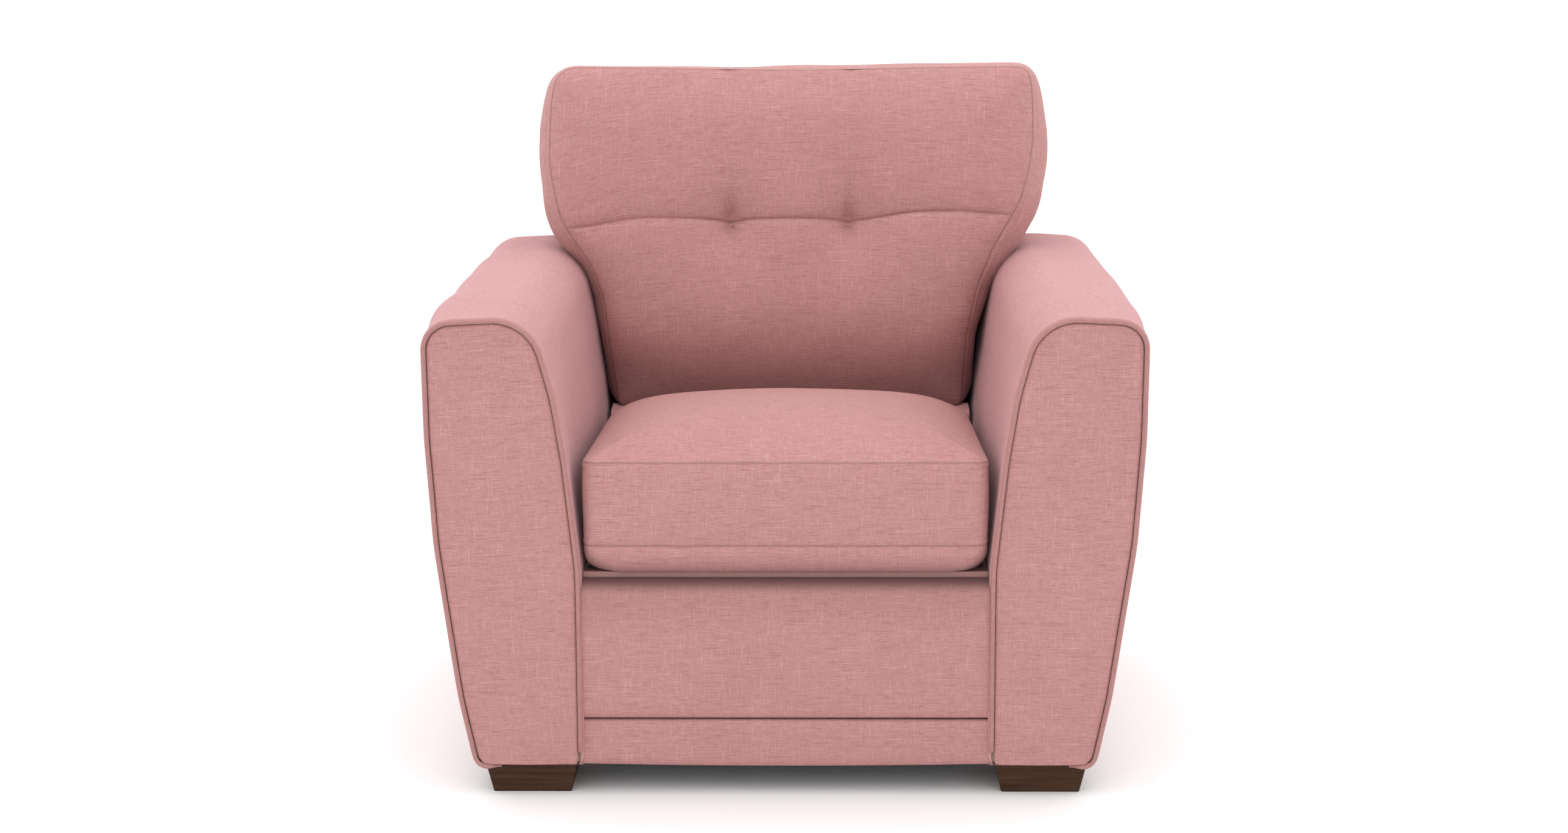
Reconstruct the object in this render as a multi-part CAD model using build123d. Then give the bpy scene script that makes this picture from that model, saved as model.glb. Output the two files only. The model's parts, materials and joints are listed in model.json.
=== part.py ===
from build123d import *
import math
import os

# Upholstered armchair with tapering arms, a loose boxed seat cushion, a tufted back cushion and
# four tapered block feet. Millimetres. X runs to the sitter's left as seen from the front (right
# on a front view), +Y runs from the front to the outside back, +Z is up. The origin is on the
# floor, under the middle of the chair's outer box. Every piece below is a separate solid.

# ---- driving dimensions -------------------------------------------------------------------------
FOOT_H = 43.0            # clear height under the upholstery
Y_FACING = -448.5        # front plane of the arm facings
FACING_T = 8.0           # padded facing panel
BOARD_T = 15.0           # plywood boards of the arms
COVER_T = 3.0            # fabric with its lining
FOAM_T = 12.0            # foam wrap on the arms
LIP = 7.0                # piping width: the arm cover stands this far outside the facing's seam
INNER_X = 277.0          # arm cover's inner face, so the seat is twice this wide
GAP = 0.3                # assembly gap between upholstered pieces
BACK_LEAN = 11.0         # inside back, degrees from vertical
REAR_LEAN = 2.0          # outside back, degrees from vertical
SEAT_PITCH = 2.5         # seat deck falls towards the back, degrees
BACK_Y, BACK_Z = 114.5, 470.0     # foot of the back cushion's front face
BACK_THICK = 105.0       # back cushion, front face to frame
REAR_Y, REAR_Z = 414.5, 45.0      # foot of the outside back
DECK_Y, DECK_Z = -445.5, 313.0    # front edge of the deck's upper face
CUSHION_DEEP = 557.0
CUSHION_HALF = 276.0
CUSHION_REAR_TAPER = 8.0          # the cushion is this much narrower, each side, at its rear
CUSHION_FRONT_ROUND, CUSHION_REAR_ROUND = 22.0, 100.0
CUSHION_LOW_SEAM, CUSHION_TOP_SEAM, CUSHION_TOP = 40.0, 154.0, 184.0
PLY_T = 18.0
TUFT_X, TUFT_Z = 91.0, 717.0
BOLT_R = 4.0
TIE_R, TIE_HOLE_R, WASHER_R = 1.0, 1.5, 14.0
RAIL_IN = 21.0           # from the back cushion's rear face through the rails behind it
FOOT_TOP, FOOT_BOTTOM = 126.0, 108.0
FOOT_X, FOOT_FRONT_Y, FOOT_REAR_Y = 351.5, -376.5, 336.0

SIDES = {"left": -1, "right": 1}
SEAT_HALF = INNER_X - 0.5         # pieces that span between the arms
FAR = 600.0              # beyond the chair on any side, for trimming


# ---- helpers ------------------------------------------------------------------------------------
def rear_y(z):
    """Depth of the outside back at a height."""
    return REAR_Y + (z - REAR_Z) * math.tan(math.radians(REAR_LEAN))


def inside_y(z, depth=0.0):
    """Depth, at a height, of a plane parallel to the back cushion's front face and depth behind it."""
    lean = math.radians(BACK_LEAN)
    return BACK_Y + (z - BACK_Z) * math.tan(lean) + depth / math.cos(lean)


def outline(points, radii):
    return make_face(FilletPolyline(*points, radius=radii, close=True))


def prism_y(face, y0, y1):
    """Extrudes a face drawn in (x, z) from y0 to y1."""
    plane = Plane(origin=(0, y1, 0), x_dir=(1, 0, 0), z_dir=(0, -1, 0))
    return extrude(plane * face, amount=y1 - y0)


def prism_x(face, x0, x1):
    """Extrudes a face drawn in (y, z) from x0 to x1."""
    plane = Plane(origin=(x0, 0, 0), x_dir=(0, 1, 0), z_dir=(1, 0, 0))
    return extrude(plane * face, amount=x1 - x0)


def polygon(*points):
    return make_face(Polyline(*points, close=True))


def block(x0, x1, y0, y1, z0, z1):
    return Pos((x0 + x1) / 2, (y0 + y1) / 2, (z0 + z1) / 2) * Box(x1 - x0, y1 - y0, z1 - z0)


def rod_x(x0, x1, y, z, r):
    return Pos((x0 + x1) / 2, y, z) * (Rot(0, 90, 0) * Cylinder(r, x1 - x0))


def rod_z(x, y, z0, z1, r):
    return Pos(x, y, (z0 + z1) / 2) * Cylinder(r, z1 - z0)


def mirrored(shape, sign):
    return shape if sign > 0 else mirror(shape, about=Plane.YZ)


LEAN_PLANE = Plane(
    origin=(0, BACK_Y, BACK_Z),
    x_dir=(1, 0, 0),
    z_dir=(0, -math.cos(math.radians(BACK_LEAN)), math.sin(math.radians(BACK_LEAN))),
)
DECK_PLANE = Plane(
    origin=(0, DECK_Y, DECK_Z),
    x_dir=(1, 0, 0),
    z_dir=(0, math.sin(math.radians(SEAT_PITCH)), math.cos(math.radians(SEAT_PITCH))),
)


def lean_plane(depth):
    """The back cushion's front plane, moved straight back until it is depth behind itself."""
    return Plane(
        origin=(0, inside_y(BACK_Z, depth), BACK_Z), x_dir=(1, 0, 0), z_dir=LEAN_PLANE.z_dir
    )


def up_lean(z):
    """Distance along the leaning plane for a height."""
    return (z - BACK_Z) / math.cos(math.radians(BACK_LEAN))


def lean_block(x0, x1, z0, z1, d0, d1):
    """A block set square to the back cushion's front face, from depth d0 to d1 behind it."""
    v0, v1 = up_lean(z0), up_lean(z1)
    local = Pos((x0 + x1) / 2, (v0 + v1) / 2, -(d0 + d1) / 2) * Box(x1 - x0, v1 - v0, d1 - d0)
    return LEAN_PLANE * local


# ---- arms ---------------------------------------------------------------------------------------
ARM_POINTS = [
    (INNER_X + LIP, FOOT_H + LIP),
    (INNER_X + LIP, 335),
    (309, 540),
    (338, 661),
    (480, 657),
    (481, 470),
    (452, 215),
    (422, FOOT_H + LIP),
]
ARM_RADII = [4, 500, 300, 65, 40, 600, 1200, 12]
ARM_REAR_ROUND = 60.0
FOAM_LOW = 72.0


def arm_face(grow):
    """The facing's seam outline, in (x, z), grown outwards."""
    face = outline(ARM_POINTS, ARM_RADII)
    return offset(face, amount=grow) if grow else face


def arm_form(inset, y_front):
    """The arm's outer form, rounded at its top rear corner, moved inwards by inset."""
    section = prism_y(arm_face(LIP - inset), y_front, FAR)
    low, high = 0.0, ARM_POINTS[3][1] + LIP - inset
    side = outline(
        [(y_front, low), (rear_y(low) - inset, low), (rear_y(high) - inset, high), (y_front, high)],
        [0, 0, ARM_REAR_ROUND, 0],
    )
    return section & prism_x(side, 0, FAR)


def arm_bolt_places():
    return [(y, 110.0) for y in (-300.0, -10.0, 280.0)]


def foot_places():
    return [FOOT_FRONT_Y, FOOT_REAR_Y]


def arm_cover():
    cover = arm_form(0, Y_FACING + FACING_T) - arm_form(COVER_T, Y_FACING)
    for y in foot_places():
        cover -= rod_z(FOOT_X, y, FOOT_H - 2, FOOT_H + COVER_T + 2, BOLT_R + GAP)
    for y, z in arm_bolt_places():
        cover -= rod_x(INNER_X - 2, INNER_X + COVER_T + 4, y, z, BOLT_R + GAP)
    return cover


def arm_foam():
    back_of_board = Y_FACING + FACING_T + BOARD_T
    foam = arm_form(COVER_T, back_of_board) - arm_form(COVER_T + FOAM_T, Y_FACING)
    foam -= block(0, FAR, -FAR, FAR, 0, FOAM_LOW)
    for y, z in arm_bolt_places():
        foam -= rod_x(INNER_X, INNER_X + 30, y, z, BOLT_R + GAP)
    return foam


def arm_facing():
    return prism_y(arm_face(0), Y_FACING, Y_FACING + FACING_T)


def arm_piping():
    """Piping cord in its fabric tube, round the facing but not under it."""
    ring = prism_y(arm_face(LIP) - arm_face(0), Y_FACING - 1.5, Y_FACING + FACING_T)
    return ring - block(0, FAR, -FAR, 0, 0, ARM_POINTS[0][1])


def arm_front_board():
    y0 = Y_FACING + FACING_T
    return prism_y(arm_face(LIP - COVER_T), y0, y0 + BOARD_T)


ARM_Y0 = Y_FACING + FACING_T + BOARD_T
ARM_Y1 = 345.0
BASE_BOARD_TOP = FOOT_H + COVER_T + PLY_T
INNER_BOARD_X = INNER_X + COVER_T + FOAM_T + 1
INNER_BOARD_T = 12.0
BOLT_HEAD_X, BOLT_HEAD_T = 246.0, 5.0


def arm_rear_board():
    board = prism_y(arm_face(-9), ARM_Y1, ARM_Y1 + BOARD_T)
    return board - block(0, FAR, 0, FAR, 0, BASE_BOARD_TOP)


def arm_base_board():
    board = block(296, 412, ARM_Y0, ARM_Y1 + BOARD_T, FOOT_H + COVER_T, BASE_BOARD_TOP)
    for y in foot_places():
        board -= rod_z(FOOT_X, y, FOOT_H, BASE_BOARD_TOP + 2, BOLT_R)
    return board


def arm_inner_board():
    x0, x1 = INNER_BOARD_X, INNER_BOARD_X + INNER_BOARD_T
    board = block(x0, x1, ARM_Y0, ARM_Y1, BASE_BOARD_TOP, 325)
    for y, z in arm_bolt_places():
        board -= rod_x(x0 - 2, x1 + 2, y, z, BOLT_R)
    return board


def arm_top_rail():
    return block(372, 432, ARM_Y0, ARM_Y1, 620, 645)


def arm_bolts():
    """Three bolts from inside the base into nuts on the arm's inner board."""
    bolts = []
    shank_x, tip_x = BOLT_HEAD_X + BOLT_HEAD_T, INNER_BOARD_X + INNER_BOARD_T + 10
    for y, z in arm_bolt_places():
        head = rod_x(BOLT_HEAD_X, shank_x, y, z, 2 * BOLT_R)
        bolts.append(head + rod_x(shank_x, tip_x, y, z, BOLT_R))
    return bolts


def arm_nuts():
    x = INNER_BOARD_X + INNER_BOARD_T
    hexagon = RegularPolygon(7.5, 6) - Circle(BOLT_R)
    nut = Rot(0, 90, 0) * extrude(hexagon, amount=6)
    return [Pos(x, y, z) * nut for y, z in arm_bolt_places()]


# ---- base and suspension ------------------------------------------------------------------------
BORDER_Y = -441.5
BORDER_T = 17.7
FRONT_RAIL_Y = BORDER_Y + BORDER_T + GAP
REAR_RAIL_Y = 376.0
SIDE_RAIL_IN = 251.0
BASE_LOW, BASE_TOP = 60.0, 160.0
FRONT_RAIL_TOP, REAR_SEAT_RAIL_TOP = 288.0, 263.0
CORNER_REACH = 70.0
SPRING_R = 1.9
SPRING_FRONT = (-414.5, 292.5)
SPRING_REAR = (146.0, 268.0)
SPRING_X = [-190, -95, 0, 95, 190]
SPRING_BARS, SPRING_HALF = 27, 22.0


def front_rail():
    return block(
        -SEAT_HALF, SEAT_HALF, FRONT_RAIL_Y, FRONT_RAIL_Y + PLY_T, BASE_LOW - 2, FRONT_RAIL_TOP
    )


def rear_base_rail():
    return block(-SEAT_HALF, SEAT_HALF, REAR_RAIL_Y, REAR_RAIL_Y + PLY_T, BASE_LOW, BASE_TOP)


def side_rail():
    rail = block(
        SIDE_RAIL_IN, INNER_X - GAP, FRONT_RAIL_Y + PLY_T, REAR_RAIL_Y, BASE_LOW, BASE_TOP
    )
    for y, z in arm_bolt_places():
        rail -= rod_x(SIDE_RAIL_IN - 2, INNER_X + 2, y, z, BOLT_R)
    return rail


def rear_seat_rail():
    return block(-250, 250, 133.5, 158.3, 200, REAR_SEAT_RAIL_TOP)


def corner_blocks():
    """Glued triangular blocks in the base's four corners."""
    blocks = []
    for sx in SIDES.values():
        for y, sy in ((FRONT_RAIL_Y + PLY_T, 1), (REAR_RAIL_Y, -1)):
            x = sx * SIDE_RAIL_IN
            corner = polygon((x, y), (x - sx * CORNER_REACH, y), (x, y + sy * CORNER_REACH))
            blocks.append(extrude(Pos(0, 0, 90) * corner, amount=30))
    return blocks


def seat_spring(x):
    """One zigzag wire spring, lying in a plane from the front rail to the rear seat rail."""
    (ya, za), (yb, zb) = SPRING_FRONT, SPRING_REAR
    points = [(x, ya, za)]
    for i in range(SPRING_BARS):
        side = SPRING_HALF if i % 2 == 0 else -SPRING_HALF
        for t in (i / SPRING_BARS, (i + 1) / SPRING_BARS):
            points.append((x + side, ya + (yb - ya) * t, za + (zb - za) * t))
    path = FilletPolyline(*points, (x, yb, zb), radius=8.0)
    section = Plane(origin=path @ 0, z_dir=path % 0) * Circle(SPRING_R)
    return sweep(section, path=path)


def spring_clips():
    """Clips nailed to the rails, each bent over a spring's end bar."""
    clips = []
    for x in SPRING_X:
        for (y, z), rail_top in (
            (SPRING_FRONT, FRONT_RAIL_TOP),
            (SPRING_REAR, REAR_SEAT_RAIL_TOP),
        ):
            clip = block(x - 9, x + 9, y - 7, y + 7, rail_top, z + SPRING_R + 1.2)
            clips.append(clip - rod_x(x - 40, x + 40, y, z, SPRING_R + 0.15))
    return clips


def deck_layer(x_half, y0, y1, w0, w1):
    """A layer of the seat deck: y measured along the deck, w up from its upper face."""
    local = Pos(0, (y0 + y1) / 2, (w0 + w1) / 2) * Box(2 * x_half, y1 - y0, w1 - w0)
    return DECK_PLANE * local


def spring_pad():
    return deck_layer(262, 25, 560, -15.4, -12.3)


def seat_deck():
    return deck_layer(SEAT_HALF, 23, 565, -12, 0)


def base_cloth():
    return block(-276, 276, FRONT_RAIL_Y, REAR_Y - 6, FOOT_H + 0.2, FOOT_H + 1.2)


# ---- front border -------------------------------------------------------------------------------
BORDER_SEAM_Z = 108.0


def front_border():
    face = outline(
        [
            (BORDER_Y, BORDER_SEAM_Z + 0.5),
            (BORDER_Y, 303),
            (BORDER_Y + BORDER_T, 306),
            (BORDER_Y + BORDER_T, BORDER_SEAM_Z + 0.5),
        ],
        [3, 13, 3, 0],
    )
    return prism_x(face, -SEAT_HALF, SEAT_HALF)


def front_band():
    face = outline(
        [
            (BORDER_Y, FOOT_H),
            (BORDER_Y, BORDER_SEAM_Z),
            (BORDER_Y + BORDER_T, BORDER_SEAM_Z),
            (BORDER_Y + BORDER_T, FOOT_H),
        ],
        [4, 4, 0, 0],
    )
    return prism_x(face, -SEAT_HALF, SEAT_HALF)


# ---- back ---------------------------------------------------------------------------------------
BACK_POINTS = [(287, 452), (299, 540), (318, 620), (372, 697), (398, 802), (390, 920), (362, 960)]
BACK_RADII = [22, 250, 60, 90, 250, 60, 26]
FRONT_TAPER = 22.0
NOSE_DEEP = 35.0


def back_face(narrow, inset, lean):
    """The back's outline: half points mirrored, narrowed in x and inset all round."""
    half = [(x - narrow, up_lean(z) if lean else z) for x, z in BACK_POINTS]
    points = half + [(-x, z) for x, z in reversed(half)]
    face = outline(points, BACK_RADII + list(reversed(BACK_RADII)))
    return offset(face, amount=-inset) if inset else face


def back_form(inset):
    """Back cushion: widens over its nose, then runs level to the frame behind it."""
    near = lean_plane(inset) * back_face(FRONT_TAPER, inset, True)
    middle = lean_plane(NOSE_DEEP) * back_face(0, inset, True)
    nose = Solid.make_loft([near.faces()[0].outer_wire(), middle.faces()[0].outer_wire()], True)
    run = (BACK_THICK - NOSE_DEEP - inset) / math.cos(math.radians(BACK_LEAN))
    body = extrude(middle, amount=run, dir=(0, 1, 0))
    return Part(nose.wrapped) + body


def tuft_holes(radius, d0, d1):
    v = up_lean(TUFT_Z)
    return [
        LEAN_PLANE * (Pos(s * TUFT_X, v, -(d0 + d1) / 2) * Cylinder(radius, d1 - d0))
        for s in (-1, 1)
    ]


def back_cushion_cover():
    cover = back_form(0) - back_form(COVER_T)
    for hole in tuft_holes(TIE_HOLE_R, -5, BACK_THICK + 5):
        cover -= hole
    return cover


def back_cushion_fill():
    fill = back_form(COVER_T + GAP)
    for hole in tuft_holes(TIE_HOLE_R, -5, BACK_THICK + 5):
        fill -= hole
    return fill


def tuft_ties():
    """Twine from the front stitch through the cushion and its rail, knotted behind."""
    return tuft_holes(TIE_R, 1.0, BACK_THICK + RAIL_IN)


def tuft_washers():
    """Round washers behind the tuft rail, each holding a tie's knot."""
    return tuft_holes(WASHER_R, BACK_THICK + RAIL_IN, BACK_THICK + RAIL_IN + 2)


def back_upright():
    """Side post of the back frame: straight through the base, then leaning with the back."""
    d = BACK_THICK + 3.2
    profile = polygon(
        (158.6, BASE_LOW),
        (246, BASE_LOW),
        (inside_y(440, d + 60), 440),
        (inside_y(905, d + 50), 905),
        (inside_y(905, d), 905),
        (inside_y(440, d), 440),
        (158.6, REAR_SEAT_RAIL_TOP),
    )
    return prism_x(profile, 225.2, 250.2)


def back_rail(z0, z1):
    return lean_block(-225, 225, z0, z1, BACK_THICK + 3, BACK_THICK + RAIL_IN)


def back_tuft_rail():
    rail = back_rail(692, 742)
    for hole in tuft_holes(TIE_HOLE_R, BACK_THICK, BACK_THICK + 30):
        rail -= hole
    return rail


def back_wing():
    """Plywood wing that carries the back out over the arm."""
    depth = BACK_THICK + 3.2
    face = back_face(0, 16, True)
    wing = extrude(lean_plane(depth) * face, amount=15, dir=(0, 1, 0))
    below_arms = block(-FAR, FAR, 0, FAR, 0, 700)
    inside_uprights = block(-FAR, 250.4, 0, FAR, 0, 2 * FAR)
    return wing - below_arms - inside_uprights


def back_webbing():
    """Elastic straps across the back frame, behind the cushion."""
    return [
        lean_block(-249, 249, z, z + 50, BACK_THICK + 0.6, BACK_THICK + 2.4)
        for z in (500, 570, 640, 770, 835)
    ]


def back_frame_cover():
    """Fabric round the sides and top of the back frame, above the arms."""
    ring = back_face(0, 8, False) - back_face(0, 8 + COVER_T, False)
    band = prism_y(ring, 0, FAR)
    low, top = 640.0, BACK_POINTS[-1][1]
    side = outline(
        [
            (inside_y(low, BACK_THICK + GAP), low),
            (rear_y(low) - GAP, low),
            (rear_y(top) - GAP, top),
            (inside_y(top, BACK_THICK + GAP), top),
        ],
        [0, 0, 0, 0],
    )
    band = band & prism_x(side, -FAR, FAR)
    arm = arm_form(-GAP, Y_FACING)
    return band - arm - mirrored(arm, -1)


PANEL_POINTS = [
    (410, 48),
    (440, 215),
    (467, 470),
    (466, 640),
    (368, 652),
    (364, 700),
    (386, 802),
    (378, 915),
    (350, 944),
]
PANEL_RADII = [10, 900, 500, 30, 12, 60, 200, 50, 25]
PANEL_T = 4.0


def outer_back():
    """Outside back panel: board and fabric over the whole rear, arms included."""
    lean = math.radians(REAR_LEAN)
    plane = Plane(
        origin=(0, REAR_Y, REAR_Z),
        x_dir=(1, 0, 0),
        z_dir=(0, -math.cos(lean), math.sin(lean)),
    )
    half = [(x, (z - REAR_Z) / math.cos(lean)) for x, z in PANEL_POINTS]
    points = half + [(-x, z) for x, z in reversed(half)]
    face = outline(points, PANEL_RADII + list(reversed(PANEL_RADII)))
    return extrude(plane * face, amount=-PANEL_T)


def tuck_in():
    """Fabric panel that closes the back below its cushion, behind the seat cushion."""
    return block(-SEAT_HALF, SEAT_HALF, 122.5, 128.5, 292, 450)


# ---- loose seat cushion -------------------------------------------------------------------------
def cushion_outline(inset):
    """The cushion's plan, inset all round: narrower and rounder at the rear."""
    front, rear = CUSHION_HALF - inset, CUSHION_HALF - CUSHION_REAR_TAPER - inset
    y0, y1 = inset, CUSHION_DEEP - inset
    front_round = max(CUSHION_FRONT_ROUND - inset, 6.0)
    rear_round = max(CUSHION_REAR_ROUND - inset, 6.0)
    return outline(
        [(-front, y0), (front, y0), (rear, y1), (-rear, y1)],
        [front_round, front_round, rear_round, rear_round],
    )


def cushion_form(t):
    """Boxing between two seams, with a crown above and below. t is the inset of the cover."""
    levels = [
        (GAP + t, 55.0),
        (CUSHION_LOW_SEAM, t),
        (CUSHION_TOP_SEAM, t),
        (CUSHION_TOP - t, 70.0),
    ]
    wires = [(Pos(0, 0, w) * cushion_outline(i)).faces()[0].outer_wire() for w, i in levels]
    return DECK_PLANE * Part(Solid.make_loft(wires, True).wrapped)


def seat_cushion_cover():
    return cushion_form(0) - cushion_form(COVER_T)


def seat_cushion_foam():
    return cushion_form(COVER_T + GAP)


ZIP_HALF = 155.0
ZIP_W = (CUSHION_LOW_SEAM + CUSHION_TOP_SEAM) / 2


def zip_tape():
    """Zip along the rear boxing: tape with the closed chain raised along its middle."""
    tape = Pos(0, CUSHION_DEEP + 0.6, ZIP_W) * Box(2 * ZIP_HALF, 1.2, 26)
    chain = Pos(0, CUSHION_DEEP + 1.7, ZIP_W) * Box(2 * ZIP_HALF - 10, 1.0, 5)
    return DECK_PLANE * (tape + chain)


def zip_slider():
    """Slider over the chain, with a pull tab that hangs from its bridge."""
    body = Box(11, 3.0, 10) - Pos(0, -1.2, 0) * Box(12, 1.4, 5.6)
    tab = Pos(0, 2.0, -14) * Box(6, 1.0, 26) - Pos(0, 2.0, -22) * (Rot(90, 0, 0) * Cylinder(1.6, 3))
    here = Pos(ZIP_HALF - 12, CUSHION_DEEP + 3.1, ZIP_W)
    return DECK_PLANE * (here * (body + tab))


# ---- feet ---------------------------------------------------------------------------------------
def foot(y):
    low = Pos(FOOT_X, y, 0) * RectangleRounded(FOOT_BOTTOM, FOOT_BOTTOM, 2.5)
    high = Pos(FOOT_X, y, FOOT_H - 0.1) * RectangleRounded(FOOT_TOP, FOOT_TOP, 2.5)
    body = Solid.make_loft([low.faces()[0].outer_wire(), high.faces()[0].outer_wire()], True)
    body = chamfer(Part(body.wrapped).faces().sort_by(Axis.Z)[0].edges(), 1.0)
    return body - rod_z(FOOT_X, y, 16, FOOT_H + 2, BOLT_R)


def foot_bolts():
    return [rod_z(s * FOOT_X, y, 16, 78, BOLT_R) for s in (-1, 1) for y in foot_places()]


def foot_nuts():
    nuts = []
    for s in (-1, 1):
        for y in foot_places():
            plate = RegularPolygon(9, 6) - Circle(BOLT_R)
            nuts.append(Pos(s * FOOT_X, y, BASE_BOARD_TOP) * extrude(plate, amount=6))
    return nuts


# ---- write every sub-part -----------------------------------------------------------------------
def both_sides(makers):
    nodes = {}
    for name, make in makers.items():
        shape = make()
        for side, sign in SIDES.items():
            if isinstance(shape, list):
                nodes[f"{side}_{name}"] = [mirrored(s, sign) for s in shape]
            else:
                nodes[f"{side}_{name}"] = mirrored(shape, sign)
    return nodes


def all_nodes():
    nodes = both_sides(
        {
            "arm_cover": arm_cover,
            "arm_foam": arm_foam,
            "arm_facing": arm_facing,
            "arm_piping": arm_piping,
            "arm_front_board": arm_front_board,
            "arm_rear_board": arm_rear_board,
            "arm_base_board": arm_base_board,
            "arm_inner_board": arm_inner_board,
            "arm_top_rail": arm_top_rail,
            "arm_bolts": arm_bolts,
            "arm_nuts": arm_nuts,
            "side_rail": side_rail,
            "back_upright": back_upright,
            "back_wing": back_wing,
            "front_foot": lambda: foot(FOOT_FRONT_Y),
            "rear_foot": lambda: foot(FOOT_REAR_Y),
        }
    )
    nodes.update(
        front_rail=front_rail(),
        rear_base_rail=rear_base_rail(),
        rear_seat_rail=rear_seat_rail(),
        corner_blocks=corner_blocks(),
        seat_springs=[seat_spring(x) for x in SPRING_X],
        spring_clips=spring_clips(),
        spring_pad=spring_pad(),
        seat_deck=seat_deck(),
        base_cloth=base_cloth(),
        front_border=front_border(),
        front_band=front_band(),
        back_lumbar_rail=back_rail(472, 512),
        back_tuft_rail=back_tuft_rail(),
        back_top_rail=back_rail(860, 900),
        back_webbing=back_webbing(),
        back_cushion_cover=back_cushion_cover(),
        back_cushion_fill=back_cushion_fill(),
        tuft_ties=tuft_ties(),
        tuft_washers=tuft_washers(),
        back_frame_cover=back_frame_cover(),
        outer_back=outer_back(),
        tuck_in=tuck_in(),
        seat_cushion_cover=seat_cushion_cover(),
        seat_cushion_foam=seat_cushion_foam(),
        zip_tape=zip_tape(),
        zip_slider=zip_slider(),
        foot_bolts=foot_bolts(),
        foot_nuts=foot_nuts(),
    )
    return nodes


def main():
    os.makedirs("parts", exist_ok=True)
    for name, shape in all_nodes().items():
        solids = shape if isinstance(shape, list) else [shape]
        flat = [solid for piece in solids for solid in piece.solids()]
        whole = Compound(children=flat) if len(flat) > 1 else flat[0]
        export_step(whole, f"parts/{name}.step")


main()
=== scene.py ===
import json
import math

import bmesh
import bpy
import numpy as np
from mathutils import Matrix, Vector
from mathutils.kdtree import KDTree


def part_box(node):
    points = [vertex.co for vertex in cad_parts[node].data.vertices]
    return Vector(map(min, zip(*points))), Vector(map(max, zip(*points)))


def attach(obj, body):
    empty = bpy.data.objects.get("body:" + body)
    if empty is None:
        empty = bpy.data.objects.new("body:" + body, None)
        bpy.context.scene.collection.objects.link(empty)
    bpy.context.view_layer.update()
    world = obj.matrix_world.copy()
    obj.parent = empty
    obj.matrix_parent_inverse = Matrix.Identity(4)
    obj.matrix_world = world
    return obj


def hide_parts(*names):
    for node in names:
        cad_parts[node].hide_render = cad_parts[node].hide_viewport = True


# An upholstered armchair in a dusty pink linen weave. Metres, in the CAD's frame: X across the
# chair, -Y its front, +Z up. Outlines are lists of (x, z) or (y, z) with a corner radius each.

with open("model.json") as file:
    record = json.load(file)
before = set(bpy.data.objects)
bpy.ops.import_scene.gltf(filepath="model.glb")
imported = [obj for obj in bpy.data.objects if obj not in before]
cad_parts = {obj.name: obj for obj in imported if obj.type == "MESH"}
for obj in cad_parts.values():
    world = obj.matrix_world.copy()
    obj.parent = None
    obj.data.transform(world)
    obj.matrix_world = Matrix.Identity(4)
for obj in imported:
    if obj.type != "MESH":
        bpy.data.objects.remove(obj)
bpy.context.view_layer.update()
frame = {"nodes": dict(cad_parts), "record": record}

ROOT, CUSHION = "root", "seat_cushion"


# ---- outlines -----------------------------------------------------------------------------------
def stack(*parts):
    """Arrays and numbers side by side, as the coordinates of points."""
    return np.stack(np.broadcast_arrays(*parts), -1)


def rounded(corners, closed, step):
    """Points along an outline of (a, b, radius) corners, rounded by arcs and evenly spaced."""
    n = len(corners)
    points = []
    for i in range(n):
        here = Vector(corners[i][:2])
        radius = corners[i][2]
        if not closed and i in (0, n - 1) or radius == 0:
            points.append(here)
            continue
        before = Vector(corners[i - 1][:2]) - here
        after = Vector(corners[(i + 1) % n][:2]) - here
        room = 0.48 * min(before.length, after.length)
        before.normalize()
        after.normalize()
        half = before.angle(after) / 2
        reach = min(radius / math.tan(half), room)
        radius = reach * math.tan(half)
        centre = here + (before + after).normalized() * (radius / math.sin(half))
        start, end = here + before * reach, here + after * reach
        a0 = math.atan2(start.y - centre.y, start.x - centre.x)
        turn = math.atan2(end.y - centre.y, end.x - centre.x) - a0
        turn = (turn + math.pi) % (2 * math.pi) - math.pi
        for k in range(13):
            a = a0 + turn * k / 12
            points.append(centre + radius * Vector((math.cos(a), math.sin(a))))
    return resample(np.array([tuple(p) for p in points]), closed, step)


def resample(line, closed, step):
    """The polyline with evenly spaced points, about step apart."""
    if closed:
        line = looped(line)
    lengths = np.linalg.norm(np.diff(line, axis=0), axis=1)
    line = line[np.concatenate([[True], lengths > 1e-7])]
    along = run_length(line)
    count = max(2, round(along[-1] / step) + (0 if closed else 1))
    t = np.linspace(0, along[-1], count, endpoint=not closed)
    return np.stack([np.interp(t, along, line[:, k]) for k in range(line.shape[1])], 1)


def grown(line, amount, closed=True):
    """The outline moved outwards along its own normals; it runs counter-clockwise."""
    if closed:
        tangent = tangents(line)
    else:
        tangent = np.gradient(line, axis=0)
        tangent /= np.linalg.norm(tangent, axis=1)[:, None]
    normal = stack(tangent[:, 1], -tangent[:, 0])
    return line + normal * np.reshape(amount, (-1, 1))


def run_length(line):
    """Distance along an open polyline at each of its points."""
    return np.concatenate([[0], np.cumsum(np.linalg.norm(np.diff(line, axis=0), axis=1))])


def looped(ring):
    """A closed outline with its first point repeated at its end."""
    return np.vstack([ring, ring[:1]])


def around(ring):
    """Distance round a closed outline at each of its points."""
    return run_length(looped(ring))[:-1]


def tangents(ring):
    """Unit direction of a closed outline at each of its points."""
    tangent = np.roll(ring, -1, 0) - np.roll(ring, 1, 0)
    return tangent / np.linalg.norm(tangent, axis=1)[:, None]


def smooth_step(a, b, x):
    t = np.clip((x - a) / (b - a), 0, 1)
    return t * t * (3 - 2 * t)


def bump(x, centre, width):
    return np.exp(-(((x - centre) / width) ** 2))


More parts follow.
